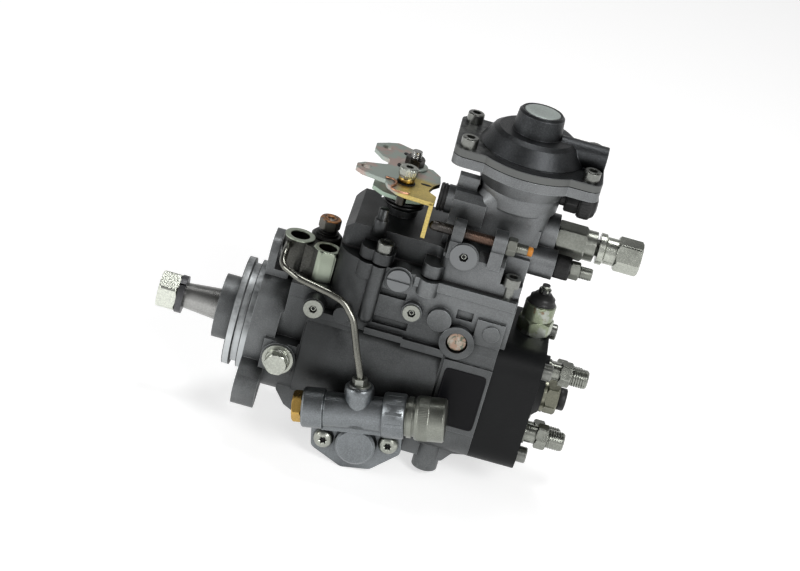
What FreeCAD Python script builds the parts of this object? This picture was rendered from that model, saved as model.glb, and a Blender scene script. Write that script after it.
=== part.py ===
import FreeCAD, Part
import math
import os
import Sketcher

# Diesel injection pump, distributor type with an axial pumping plunger. Millimetres.
# The origin is the centre of the mounting flange's face on the shaft axis.
# +X runs along the shaft to the distributor head, +Z is up and -Y is the side with
# the cold-start device. In the "y" frame distances are measured outwards, along -Y.

SIZES = {
    # drive end
    "pilot_radius": 34.0, "pilot_length": 12.8, "pilot_groove_radius": 31.0,
    "pilot_groove_start": 4.0, "pilot_groove_width": 4.5,
    "neck_radius": 20.0, "neck_length": 10.5,
    "taper_large_radius": 10.0, "taper_small_radius": 7.8, "taper_length": 22.2,
    "shaft_thread_radius": 7.0, "nut_flats": 22.0, "nut_thickness": 12.0,
    "washer_radius": 11.8, "washer_thickness": 4.0, "thread_overhang": 0.6,
    "seal_radius": 15.0, "seal_length": 7.0, "bush_radius": 13.0, "bush_start": -12.0,
    "running_gap": 0.03, "part_gap": 0.3, "screw_gap": 0.05,
    # mounting flange
    "flange_thickness": 14.0, "bolt_circle_radius": 50.0, "flange_hole_radius": 4.5,
    "flange_slot_half": 4.0, "ear_radius": 9.5, "ear_turn": 4.0, "flange_drum_radius": 40.0,
    # barrel and inner bores
    "barrel_wall": 11.0, "barrel_end": 116.0, "housing_end": 147.0,
    "main_bore_radius": 30.0, "main_bore_start": 43.5, "pump_bore_step": 2.0,
    "pump_bore_start": 20.0, "pump_ring_length": 18.0, "pump_plate_thickness": 5.0,
    "rotor_radius": 23.2, "vane_thickness": 3.0, "vane_proud": 0.8, "ring_eccentricity": 1.5,
    "rotor_gap": 0.3, "fit_gap": 0.05,
    "block_wall": 10.0, "block_corner": 15.0,
    # governor chamber
    "deck_start": 40.0, "deck_end": 150.0, "deck_near": 38.0, "deck_far": 31.0,
    "deck_bottom": 28.0, "split_height": 72.0, "gasket_thickness": 1.0, "deck_corner": 19.0,
    "chamber_wall": 8.0, "chamber_floor": 20.0, "roof_thickness": 6.0,
    # governor drive and flyweights
    "gear_module": 1.5, "drive_teeth": 37, "governor_teeth": 23, "tooth_play": 0.16,
    "gear_start": 46.0, "gear_width": 7.0, "governor_pin_radius": 4.0, "cage_radius": 20.0,
    "cage_thickness": 2.5, "cage_post_end": 70.0, "weight_inner": 10.0, "weight_outer": 19.5,
    "weight_half": 5.8, "weight_length": 12.2, "weight_hinge_radius": 18.0,
    "sleeve_front": 70.4, "sleeve_radius": 7.5, "sleeve_flange_radius": 9.5, "sleeve_tip": 109.5,
    "governor_pin_start": 39.8, "governor_pin_end": 104.0, "lever_gap": 0.5, "lever_thickness": 3.5,
    "lever_pivot_x": 113.0, "lever_pivot_z": 29.0, "ball_z": 8.8, "lever_reach": 8.0,
    # cam, rollers and plunger
    "ring_start": 73.0, "ring_end": 87.0, "ring_hole_radius": 15.0, "roller_radius": 6.0,
    "roller_length": 9.0, "roller_centre": 84.0, "cam_lift": 2.5, "cam_radius": 28.5,
    "cam_thickness": 7.5, "plunger_radius": 6.0, "plunger_end": 160.0,
    "spill_start": 110.0, "spill_length": 10.0, "spill_radius": 11.0,
    # timing device, its cover leans about its own axis
    "timing_x": 80.0, "timing_z": -42.0, "timing_bore_radius": 10.5, "timing_boss_radius": 16.0,
    "timing_boss_half": 40.0, "timing_piston_half": 14.0, "timing_pin_radius": 3.5,
    "timing_slot_radius": 5.4, "timing_lean": 11.0, "timing_flange": 6.5,
    "timing_screw_spread": 19.7, "timing_screw_rise": 1.5, "timing_cap_radius": 12.3,
    "timing_cap_face": 53.0, "cold_axis_rise": 26.5, "cold_axis_out": 57.0, "cold_radius": 10.5,
    # distributor head and delivery side
    "head_length": 29.0, "spigot_length": 7.0, "barrel_outer_radius": 14.0, "outlet_boss": 4.0,
    "barrel_insert_start": 126.0, "barrel_insert_end": 172.0, "head_boss_length": 6.4,
    "outlet_inset": 11.5, "outlet_centre_drop": 5.0, "outlet_boss_radius": 8.5,
    "outlet_turn": 20.0, "holder_radius": 5.6, "holder_flats": 14.0, "holder_sink": 12.0,
    "holder_body": 8.0, "holder_hex": 7.0, "holder_thread": 10.5, "holder_bore_radius": 2.2,
    "valve_lift": 1.5, "head_screw_inset": 11.0, "plug_flats": 19.5, "solenoid_x": 165.5,
    # governor cover and boost compensator
    "cover_height": 15.0, "cover_near_rise": 7.0, "cover_step_x": 100.0, "cover_slope": 6.0,
    "cover_near": 36.0, "cover_lever_near": 24.0, "boost_x": 133.6, "boost_rise": 59.0,
    "boost_disc_radius": 38.0, "screw_seat_rise": 7.0,
    "boost_ear_x": 36.5, "boost_ear_y": 21.0, "boost_ear_radius": 7.5, "boost_lower": 5.8,
    "boost_upper": 5.0, "dome_radius": 31.0, "dome_top_radius": 24.5, "dome_height": 12.0,
    "turret_radius": 14.3, "turret_height": 13.0, "boost_pin_radius": 4.0,
    # control lever and stop screw
    "control_x": 69.4, "control_y": 10.0, "control_radius": 5.0, "hub_rise": 4.0,
    "lever_rise": 24.0, "plate_distance": 8.5, "shaft_stud": 9.5,
    "lever_plate": 2.5, "crank_throw": 8.0, "stop_y": 34.0, "stop_rise": 16.0,
    # socket head screws
    "screw_radius": 3.0, "screw_head_radius": 5.0, "screw_head_height": 6.0, "socket_flats": 5.0,
}


class Size:
    """A size that knows its value and the formula over the sheet's cells that gives it."""

    def __init__(self, value, text):
        self.value = float(value)
        self.text = text

    def __add__(self, other):
        other = size(other)
        return Size(self.value + other.value, "(%s + %s)" % (self.text, other.text))

    def __sub__(self, other):
        other = size(other)
        return Size(self.value - other.value, "(%s - %s)" % (self.text, other.text))

    def __mul__(self, other):
        other = size(other)
        return Size(self.value * other.value, "(%s * %s)" % (self.text, other.text))

    def __truediv__(self, other):
        other = size(other)
        return Size(self.value / other.value, "(%s / %s)" % (self.text, other.text))

    def __radd__(self, other):
        return size(other) + self

    def __rsub__(self, other):
        return size(other) - self

    def __rmul__(self, other):
        return size(other) * self

    def __neg__(self):
        return 0 - self


def size(item):
    """A plain number becomes a Size, a Size stays as it is."""
    if isinstance(item, Size):
        return item
    return Size(item, repr(float(item)))


class Named:
    """The driving dimensions, read as attributes."""


doc = FreeCAD.newDocument("injection_pump")
sheet = doc.addObject("Spreadsheet::Sheet", "sizes")
d = Named()
for row, (alias, number) in enumerate(SIZES.items(), start=1):
    sheet.set("A%d" % row, alias)
    sheet.set("B%d" % row, str(number))
    sheet.setAlias("B%d" % row, alias)
    setattr(d, alias, Size(number, "sizes." + alias))
doc.recompute()

# Sizes that follow from others
d.barrel_radius = d.main_bore_radius + d.barrel_wall
d.pump_bore_radius = d.main_bore_radius - d.pump_bore_step
d.block_half = d.main_bore_radius + d.block_wall
d.head_screw_offset = d.block_half - d.head_screw_inset
d.outlet_circle_radius = d.block_half - d.outlet_inset
d.chamber_roof = d.split_height - d.roof_thickness
d.lever_top = d.split_height + d.lever_reach
d.cover_bottom = d.split_height + d.gasket_thickness
d.cover_top = d.cover_bottom + d.cover_height
d.cover_near_top = d.cover_top + d.cover_near_rise
d.screw_seat = d.cover_bottom + d.screw_seat_rise
d.hub_top = d.cover_top + d.hub_rise
d.plate_height = d.hub_top + d.lever_rise
d.lower_plate = d.plate_height - d.plate_distance - d.lever_plate
d.stop_z = d.cover_top + d.stop_rise
d.boost_face = d.cover_top + d.boost_rise

# A frame turns a piece's own z to the named direction: "x" to +X with its x, y along Y, Z,
# "y" outwards to -Y with its x, y along X, Z, and "z" stays.
FRAMES = {
    "x": FreeCAD.Rotation(FreeCAD.Vector(1, 1, 1), 120),
    "y": FreeCAD.Rotation(FreeCAD.Vector(1, 0, 0), 90),
    "z": FreeCAD.Rotation(),
}
PARTS = []


def turn(angle):
    return FreeCAD.Rotation(FreeCAD.Vector(0, 0, 1), angle)


def bind(item, **formulas):
    """Bind properties to sizes; a name like Base_x stands for Placement.Base.x."""
    for name, formula in formulas.items():
        formula = size(formula)
        path = "Placement.Base." + name[-1] if name.startswith("Base_") else name
        item.setExpression(path, formula.text)
        if not name.startswith("Base_"):
            setattr(item, name, formula.value)


def place(item, axis, start, across, spin=0.0):
    """Stand a piece at start along the axis, at two distances across it."""
    rotation = FRAMES[axis].multiply(turn(spin))
    u, v = size(across[0]), size(across[1])
    start = size(start)
    spot = {"x": (start, u, v), "y": (u, -start, v), "z": (u, v, start)}[axis]
    item.Placement = FreeCAD.Placement(FreeCAD.Vector(*[s.value for s in spot]), rotation)
    bind(item, Base_x=spot[0], Base_y=spot[1], Base_z=spot[2])
    return item


def rod(axis, start, end, radius, across=(0, 0)):
    """A cylinder between two heights along an axis."""
    item = doc.addObject("Part::Cylinder", "rod")
    bind(item, Radius=radius, Height=size(end) - start)
    return place(item, axis, start, across)


def cone(axis, start, end, first, last, across=(0, 0)):
    """A cone between two heights, with its first and last radius."""
    item = doc.addObject("Part::Cone", "cone")
    bind(item, Radius1=first, Radius2=last, Height=size(end) - start)
    return place(item, axis, start, across)


def ball(centre, radius):
    item = doc.addObject("Part::Sphere", "ball")
    bind(item, Radius=radius)
    return place(item, "z", centre[2], (centre[0], centre[1]))


def hexagon(axis, start, end, flats, across=(0, 0), spin=0.0):
    """A hexagon bar with its corners turned off by 30 degree cones."""
    bar = doc.addObject("Part::Prism", "bar")
    bar.Polygon = 6
    bind(bar, Circumradius=size(flats) / math.sqrt(3.0), Height=size(end) - start)
    place(bar, axis, start, across, spin)
    corner = size(flats) * 0.56
    blank = fuse(cone(axis, start, start + corner * 0.1, corner * 0.9, corner, across),
                 rod(axis, start + corner * 0.1, size(end) - corner * 0.1, corner, across),
                 cone(axis, size(end) - corner * 0.1, end, corner, corner * 0.9, across))
    return common(bar, blank)


def block(x0, x1, y0, y1, z0, z1):
    """A box between two corners."""
    item = doc.addObject("Part::Box", "block")
    bind(item, Length=size(x1) - x0, Width=size(y1) - y0, Height=size(z1) - z0)
    return place(item, "z", z0, (x0, y0))


def fuse(*items):
    if len(items) == 1:
        return items[0]
    item = doc.addObject("Part::MultiFuse", "fuse")
    item.Shapes = list(items)
    return item


def cut(base, *tools):
    item = doc.addObject("Part::Cut", "cut")
    item.Base = base
    item.Tool = fuse(*tools)
    return item


def common(*items):
    item = doc.addObject("Part::MultiCommon", "common")
    item.Shapes = list(items)
    return item


def group(*items):
    """Separate solids kept together in one node."""
    item = doc.addObject("Part::Compound", "group")
    item.Links = list(items)
    return item


def around(item, axis, across, angle):
    """A copy of a piece turned about a line parallel to an axis."""
    item_copy = doc.addObject("Part::Compound", "turned_copy")
    item_copy.Links = [item]
    u, v = size(across[0]), size(across[1])
    centre = {"x": (0, u.value, v.value), "y": (u.value, 0, v.value), "z": (u.value, v.value, 0)}
    direction = {"x": (1, 0, 0), "y": (0, -1, 0), "z": (0, 0, 1)}[axis]
    spot = FreeCAD.Vector(*centre[axis])
    rotation = FreeCAD.Rotation(FreeCAD.Vector(*direction), angle)
    item_copy.Placement = FreeCAD.Placement(FreeCAD.Vector(), rotation, spot)
    return item_copy


def sketch_of(body, points):
    """A closed outline of straight lines whose corners are bound to sizes."""
    plane = [o for o in body.Origin.OriginFeatures if o.Role == "XY_Plane"][0]
    sketch = body.newObject("Sketcher::SketchObject", "outline")
    sketch.AttachmentSupport = (plane, [""])
    sketch.MapMode = "FlatFace"
    corners = [(size(x), size(y)) for x, y in points]
    for index, corner in enumerate(corners):
        after = corners[(index + 1) % len(corners)]
        line = Part.LineSegment(FreeCAD.Vector(corner[0].value, corner[1].value, 0),
                                FreeCAD.Vector(after[0].value, after[1].value, 0))
        sketch.addGeometry(line, False)
    for index in range(len(corners)):
        after = (index + 1) % len(corners)
        sketch.addConstraint(Sketcher.Constraint("Coincident", index, 2, after, 1))
    for index, corner in enumerate(corners):
        for kind, distance in (("DistanceX", corner[0]), ("DistanceY", corner[1])):
            row = sketch.addConstraint(Sketcher.Constraint(kind, -1, 1, index, 1, distance.value))
            sketch.setExpression("Constraints[%d]" % row, distance.text)
    return sketch


def turned(axis, points, across=(0, 0), start=0.0):
    """A lathe-turned body: points are (distance along the axis, radius)."""
    body = doc.addObject("PartDesign::Body", "turned")
    sketch = sketch_of(body, points)
    sketch.AttachmentOffset = FreeCAD.Placement(FreeCAD.Vector(), FreeCAD.Rotation(
        FreeCAD.Vector(0, 0, 1), FreeCAD.Vector(1, 0, 0), FreeCAD.Vector(0, 1, 0), "XYZ"))
    feature = body.newObject("PartDesign::Revolution", "revolution")
    feature.Profile = sketch
    feature.ReferenceAxis = (sketch, ["H_Axis"])
    feature.Angle = 360
    sketch.Visibility = False
    return place(body, axis, start, across)


def plate(axis, start, end, points, radius=0.0, across=(0, 0), spin=0.0):
    """A flat body from an outline, with its upright corners rounded."""
    body = doc.addObject("PartDesign::Body", "plate")
    pad = body.newObject("PartDesign::Pad", "pad")
    pad.Profile = sketch_of(body, points)
    bind(pad, Length=size(end) - start)
    if size(radius).value > 0:
        doc.recompute()
        upright = []
        for number, edge in enumerate(pad.Shape.Edges, start=1):
            low, high = edge.BoundBox.ZMin, edge.BoundBox.ZMax
            if high - low > pad.Length.Value * 0.99:
                upright.append("Edge%d" % number)
        fillet = body.newObject("PartDesign::Fillet", "fillet")
        fillet.Base = (pad, upright)
        bind(fillet, Radius=radius)
    return place(body, axis, start, across, spin)


def lean(*items):
    """Pieces made about the timing bore's axis, set on it and turned by its lean."""
    item = doc.addObject("Part::Compound", "leaning")
    item.Links = list(items)
    item.Placement = FreeCAD.Placement(FreeCAD.Vector(), FreeCAD.Rotation(
        FreeCAD.Vector(0, -1, 0), SIZES["timing_lean"]))
    bind(item, Base_x=d.timing_x, Base_z=d.timing_z)
    item.setExpression("Placement.Rotation.Angle", "sizes.timing_lean")
    return item


def coil_sleeve(axis, start, end, radius, bore, coils, across):
    """A close-wound spring as a sleeve with one rounded groove between its coils."""
    start, end = size(start), size(end)
    step = (end - start) / coils
    points = [(start, bore), (start, radius - 0.6)]
    for number in range(coils):
        low = start + step * number
        points += [(low + step * 0.25, radius), (low + step * 0.75, radius),
                   (low + step, radius - 0.6)]
    points.append((end, bore))
    return turned(axis, points, across)


def finish(item, label):
    """Name a finished sub-part; its label is the node's name."""
    item.Label = label
    PARTS.append(item)
    return item


def socket_screw(axis, seat, shank, across):
    """A socket head cap screw that sits on its seat and reaches down by its shank."""
    head = d.screw_head_height
    body = turned(axis, [(-size(shank), 0), (-size(shank), d.screw_radius),
                         (0, d.screw_radius), (0, d.screw_head_radius),
                         (head - 0.6, d.screw_head_radius), (head, d.screw_head_radius - 0.6),
                         (head, 0)], across, seat)
    return cut(body, hexagon(axis, size(seat) + head - 3, size(seat) + head + 1,
                             d.socket_flats, across))


# Places that several pieces share
SHOULDER = 44
GEAR_DISTANCE = (d.drive_teeth + d.governor_teeth) * d.gear_module / 2
COVER_SCREWS = [(66.2, -34.5), (143, -34.5), (60, 27.5), (140, 27.5)]
HEAD_SCREWS = [(-d.head_screw_offset, d.head_screw_offset),
               (d.head_screw_offset, d.head_screw_offset),
               (-d.head_screw_offset, -d.head_screw_offset),
               (d.head_screw_offset, -d.head_screw_offset)]


def flange_outline():
    """The diamond shape of the timing covers and of the casting under them."""
    return [(-27.5, -5), (-9, -17.5), (9, -17.5), (27.5, -5), (27.5, 9), (13, 17), (-13, 17),
            (-27.5, 9)]


# The pump housing: an aluminium casting
def housing_flange():
    """Three slotted ears about the drum behind the mounting face."""
    far = d.bolt_circle_radius
    half = d.flange_slot_half
    ears = []
    for number in range(3):
        ear = fuse(block(0, d.flange_thickness, -half, half, far, far + d.ear_radius),
                   rod("x", 0, d.flange_thickness, d.ear_radius, (half, far)),
                   rod("x", 0, d.flange_thickness, d.ear_radius, (-half, far)),
                   block(0, d.flange_thickness, -half - d.ear_radius, half + d.ear_radius, 20, far))
        slot = fuse(block(-1, d.flange_thickness + 1, -half, half,
                          far - d.flange_hole_radius, far + d.flange_hole_radius),
                    rod("x", -1, d.flange_thickness + 1, d.flange_hole_radius, (half, far)),
                    rod("x", -1, d.flange_thickness + 1, d.flange_hole_radius, (-half, far)))
        ears.append(around(cut(ear, slot), "x", (0, 0), SIZES["ear_turn"] + 120 * number))
    return ears


def housing_outside():
    """Everything the casting shows before its bores are made."""
    block_face = [(-d.block_half, -d.block_half), (d.block_half, -d.block_half),
                  (d.block_half, d.block_half), (-d.block_half, d.block_half)]
    rear_block = plate("x", d.barrel_end, d.housing_end, block_face, d.block_corner)
    deck = plate("z", d.deck_bottom, d.split_height,
                 [(d.deck_start, -d.deck_near), (d.deck_end, -d.deck_near),
                  (d.deck_end, d.deck_far), (d.deck_start, d.deck_far)], d.deck_corner)
    square_rear = block(d.deck_end - 30, d.deck_end, -d.deck_near, d.deck_far,
                        d.deck_bottom, d.split_height)
    belly = plate("y", -30, 30, [(24, 0), (24, -30), (31, -39), (50, -48), (62, -56),
                                 (98, -56), (106, -48), (133, -48), (138, -41),
                                 (d.housing_end, -39), (d.housing_end, 0)], 2.5)
    timing_x, timing_z = d.timing_x, d.timing_z
    return fuse(
        rod("x", -d.pilot_length, 0, d.pilot_radius),
        rod("x", -d.pilot_length - d.neck_length, -d.pilot_length, d.neck_radius),
        rod("x", 0, 33, d.flange_drum_radius),
        rod("x", 33, d.barrel_end, d.barrel_radius),
        rear_block, deck, square_rear, belly,
        block(18, 62, -34, 30, 0, SHOULDER),
        block(39.5, 62, -5.5, 30, SHOULDER, 51),
        block(d.deck_start, 60, 12, d.deck_far, d.deck_bottom, d.split_height),
        rod("y", -d.timing_boss_half, d.timing_boss_half, d.timing_boss_radius,
            (timing_x, timing_z)),
        lean(plate("y", 22, d.timing_boss_half, flange_outline(), 5.0),
             plate("y", -d.timing_boss_half, -22, flange_outline(), 5.0)),
        rod("z", -56, -30, 8, (124, -25)))


def housing_details():
    """Bosses, panels and the bolt column on the near face."""
    near = d.deck_near
    return fuse(
        block(d.barrel_end + 1.5, d.housing_end, -41.5, -39, -20, 26),
        rod("y", 30, 44, 6.5, (34.7, 36)),
        rod("y", 30, 43, 5, (51.8, 36)),
        block(34, 60, -42, -33, 30, 34),
        rod("z", 38, d.split_height, 4.5, (65.6, -near)),
        ball((65.6, -near, 38), 4.5),
        rod("z", d.split_height - 10, d.split_height, 6.5, (58.7, -34)),
        rod("z", d.split_height - 10, d.split_height, 6.2, (96.3, -near)),
        rod("z", d.split_height - 17, d.split_height, 6.5, (60, 27.5)),
        rod("z", d.split_height - 17, d.split_height, 6.5, (140, 27.5)),
        rod("y", 36, 42.5, 6, (91.2, 49.8)),
        rod("y", 36, 42, 7.2, (108.2, 49.3)),
        rod("y", 36, 42.5, 10.5, (121.6, 38.2)),
        block(130, d.housing_end, -40, -36, 40, 56),
        rod("y", 36, 41, 5, (140, 48.8)),
        block(67, 90, -41.5, -36, 28, 32),
        block(90, 116, -41.5, -36, 26, 31),
        rod("y", 30, 38.5, 8.5, (78.9, d.split_height - 6)),
        block(88, 149, -near - 2.2, -near + 2, d.split_height - 6, d.split_height),
        rod("y", 36, 45, 10.5, (21.7, -2)),
        block(11, 31, -43, -30, -12, 8))


def housing_bores():
    """Everything cut out of the casting."""
    near, far = -d.deck_near + d.chamber_wall, d.deck_far - d.chamber_wall
    gap = d.screw_gap
    timing = (d.timing_x, d.timing_z)
    holes = [rod("z", d.split_height - 14, d.split_height + 1, d.screw_radius + gap, spot)
             for spot in COVER_SCREWS]
    groove = cut(rod("x", -d.pilot_groove_start - d.pilot_groove_width, -d.pilot_groove_start,
                     d.pilot_radius + 1),
                 rod("x", -d.pilot_length, 0, d.pilot_groove_radius))
    corners = [rod("x", d.housing_end - 16, d.housing_end + 1, d.screw_radius + gap, spot)
               for spot in HEAD_SCREWS]
    return [
        groove,
        rod("x", d.main_bore_start, d.housing_end + 1, d.main_bore_radius),
        rod("x", d.pump_bore_start, d.main_bore_start + 1, d.pump_bore_radius),
        rod("x", d.bush_start, d.pump_bore_start + 1, d.bush_radius),
        rod("x", -30, 0, 11),
        rod("x", -30, -d.pilot_length - d.neck_length + 0.5 + d.seal_length, d.seal_radius),
        plate("z", d.chamber_floor, d.chamber_roof, [
            (d.main_bore_start + 0.5, near), (d.deck_end - 20, near), (d.deck_end - 20, far),
            (d.main_bore_start + 0.5, far)], 6.0),
        block(d.main_bore_start + 0.5, d.deck_end - 7, -17, far,
              d.chamber_roof - 1, d.split_height + 1),
        block(d.housing_end, d.deck_end + 1, -45, 45, 20, d.block_half + d.part_gap),
        rod("y", -d.timing_boss_half - 1, d.timing_boss_half + 1, d.timing_bore_radius, timing),
        block(d.timing_x - 5, d.timing_x + 5, -10, 10, d.timing_z + 8, -26),
        rod("x", d.governor_pin_start, 50, d.governor_pin_radius, (0, GEAR_DISTANCE)),
        rod("y", -far - 3, -near + 3, 3.04, (d.lever_pivot_x, d.lever_pivot_z)),
        rod("z", -57, -40, 4, (124, -25)),
        rod("y", 36, 46, 3, (34.7, 36)),
        rod("y", 36, 50, 6.6, (121.6, 38.2)),
        rod("y", 30.5, 50, 5.05, (21.7, -2)),
        rod("y", 32, 50, 3.6, (91.2, 49.8)),
        rod("y", 32, 50, 7.05, (78.9, d.split_height - 6)),
        block(16.5, 32, -60, -33, 8, 36),
        block(5, 20, -20, 16, 41, 62),
        lean(rod("y", -54, 54, 2.5 + 0.05, (d.timing_screw_spread, d.timing_screw_rise)),
             rod("y", -54, 54, 2.5 + 0.05, (-d.timing_screw_spread, d.timing_screw_rise))),
        block(70, 86, -50, -35.5, d.split_height - 18, d.split_height - 13.5),
        block(70, 91, -50, -35.5, 35, 40),
        block(117, 127, -50, -35.5, 52, 58)] + holes + corners


def pump_housing():
    body = fuse(housing_outside(), housing_details(), *housing_flange())
    finish(cut(body, *housing_bores()), "pump_housing")


pump_housing()

# The drive end: shaft, nut, washer, seal and bush
NECK_FRONT = -d.pilot_length - d.neck_length
TAPER_END = NECK_FRONT - d.taper_length
NUT_START = TAPER_END - d.washer_thickness - d.nut_thickness


def ring(axis, start, end, outer, inner, across=(0, 0)):
    return cut(rod(axis, start, end, outer, across),
               rod(axis, size(start) - 1, size(end) + 1, inner, across))


def drive_shaft():
    end = NUT_START - d.thread_overhang
    thread = d.shaft_thread_radius
    body = turned("x", [(end, 0), (end, thread - 1), (end + 1, thread), (TAPER_END, thread),
                        (TAPER_END, d.taper_small_radius), (NECK_FRONT, d.taper_large_radius),
                        (54, d.taper_large_radius), (54, 12), (69, 12), (69, 0)])
    finish(cut(body, block(61, 70, -4, 4, -13, 13)), "drive_shaft")


def shaft_fastening():
    nut = cut(hexagon("x", NUT_START, NUT_START + d.nut_thickness, d.nut_flats, (0, 0), 30),
              rod("x", NUT_START - 1, TAPER_END, d.shaft_thread_radius + d.screw_gap))
    finish(nut, "shaft_nut")
    washer = ring("x", NUT_START + d.nut_thickness, TAPER_END, d.washer_radius,
                  d.shaft_thread_radius + d.part_gap)
    finish(cut(washer, around(block(-60, -40, 0, 20, -0.6, 0.6), "x", (0, 0), 125)),
           "spring_washer")


def shaft_bearings():
    finish(ring("x", d.bush_start, d.pump_bore_start - 2, d.bush_radius,
                d.taper_large_radius + d.running_gap), "shaft_bush")
    start = NECK_FRONT + 0.5
    lip = turned("x", [(start, d.seal_radius), (start, d.taper_large_radius + 2),
                       (start + 1.5, d.taper_large_radius + d.running_gap),
                       (start + 3.5, d.taper_large_radius + d.running_gap),
                       (start + 4.5, d.seal_radius - 1.5), (start + d.seal_length,
                                                            d.seal_radius - 1.5),
                       (start + d.seal_length, d.seal_radius)])
    finish(lip, "shaft_seal")


# The vane supply pump
def supply_pump():
    start = d.pump_bore_start
    end = start + d.pump_ring_length
    outer = d.pump_bore_radius - d.fit_gap
    inner = d.rotor_radius + d.vane_proud + d.ring_eccentricity + d.rotor_gap
    cam_ring = cut(rod("x", start, end, outer),
                   rod("x", start - 1, end + 1, inner, (0, d.ring_eccentricity)))
    side_plate = ring("x", end, end + d.pump_plate_thickness, outer,
                      d.taper_large_radius + d.part_gap)
    finish(group(cam_ring, side_plate), "supply_pump_ring")
    front, back = start + d.rotor_gap, end - d.rotor_gap
    rotor = ring("x", front, back, d.rotor_radius, d.taper_large_radius + d.screw_gap)
    slots, vanes = [], []
    half = d.vane_thickness / 2
    for number in range(4):
        angle = 45 + 90 * number
        slot = block(start, end, -half - d.fit_gap, half + d.fit_gap, 13, 30)
        slots.append(around(slot, "x", (0, 0), angle))
        vane = common(block(front, back, -half, half, 13.5, 30),
                      rod("x", front, back, d.rotor_radius + d.vane_proud))
        vanes.append(around(vane, "x", (0, 0), angle))
    finish(group(cut(rotor, *slots), *vanes), "vane_rotor")


# The governor drive gears: involute flanks as arcs through three points
def involute(base, radius):
    """Angle by which the flank has turned where it reaches a radius."""
    opening = math.sqrt(max((radius / base) ** 2 - 1, 0))
    return opening - math.atan(opening)


def gear_blank(label, teeth, centre, phase):
    module = d.gear_module.value
    teeth = int(round(teeth.value))
    pitch = module * teeth / 2
    base = pitch * math.cos(math.radians(20))
    tip, root = pitch + module, pitch - 1.25 * module
    foot = max(root, base)
    half = math.pi / (2 * teeth) - d.tooth_play.value / pitch / 2 + involute(base, pitch)
    z0, y0 = size(centre[1]).value, size(centre[0]).value
    x0 = d.gear_start.value

    def point(radius, angle):
        return FreeCAD.Vector(x0, y0 + radius * math.cos(angle), z0 + radius * math.sin(angle))

    edges = []
    for number in range(teeth):
        middle = phase + 2 * math.pi * number / teeth
        after = middle + 2 * math.pi / teeth
        radii = [foot, (foot + tip) / 2, tip]
        rising = [point(r, middle - half + involute(base, r)) for r in radii]
        falling = [point(r, middle + half - involute(base, r)) for r in reversed(radii)]
        low, high = middle + half, after - half
        root_line = [point(root, low), point(root, (low + high) / 2), point(root, high)]
        edges.append(Part.Arc(*rising).toShape())
        top = [rising[2], point(tip, middle), falling[0]]
        edges.append(Part.Arc(*top).toShape())
        edges.append(Part.Arc(*falling).toShape())
        edges.append(Part.LineSegment(falling[2], root_line[0]).toShape())
        edges.append(Part.Arc(*root_line).toShape())
        follow = point(foot, after - half + involute(base, foot))
        edges.append(Part.LineSegment(root_line[2], follow).toShape())
    face = Part.Face(Part.Wire(edges))
    item = doc.addObject("Part::Feature", label)
    item.Shape = face.extrude(FreeCAD.Vector(d.gear_width.value, 0, 0))
    return item


def drive_gear():
    teeth = gear_blank("drive_teeth", d.drive_teeth, (0, 0), math.pi / 2)
    bore = rod("x", d.gear_start - 1, 60, d.taper_large_radius + d.screw_gap)
    windows = [around(rod("x", 40, 60, 4, (0, 20)), "x", (0, 0), 60 * number)
               for number in range(6)]
    finish(cut(teeth, bore, *windows), "drive_gear")


# The flyweight governor
def governor_rotor():
    """The driven gear, its hub and the cage whose posts carry the flyweights."""
    axis = (0, GEAR_DISTANCE)
    half_step = math.pi / 23
    teeth = gear_blank("governor_teeth", d.governor_teeth, axis, -math.pi / 2 + half_step)
    cage_start = d.gear_start + d.gear_width + d.lever_gap
    posts = [around(block(cage_start, d.cage_post_end, -2.5, 2.5, GEAR_DISTANCE + 13,
                          GEAR_DISTANCE + d.cage_radius - 0.3), "x", axis, 45 + 90 * number)
             for number in range(4)]
    body = fuse(teeth, rod("x", d.gear_start, cage_start + 3, 8, axis),
                rod("x", cage_start, cage_start + d.cage_thickness, d.cage_radius, axis), *posts)
    finish(cut(body, rod("x", d.gear_start - 1, 90, d.governor_pin_radius + d.running_gap, axis)),
           "governor_gear")
    finish(rod("x", d.governor_pin_start, d.governor_pin_end, d.governor_pin_radius, axis),
           "governor_shaft")


def flyweights():
    """Four weights: a mass between the posts with a foot that pushes the sleeve."""
    axis = (0, GEAR_DISTANCE)
    start = d.gear_start + d.gear_width + d.lever_gap + d.cage_thickness + 1
    for number in range(4):
        mass = fuse(block(start, d.cage_post_end, -d.weight_half, d.weight_half,
                          GEAR_DISTANCE + d.weight_inner, GEAR_DISTANCE + d.weight_outer),
                    block(d.cage_post_end - 4, d.cage_post_end, -2, 2, GEAR_DISTANCE + 5.5,
                          GEAR_DISTANCE + d.weight_inner))
        finish(around(mass, "x", axis, 90 * number), "flyweight_%d" % (number + 1))


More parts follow.
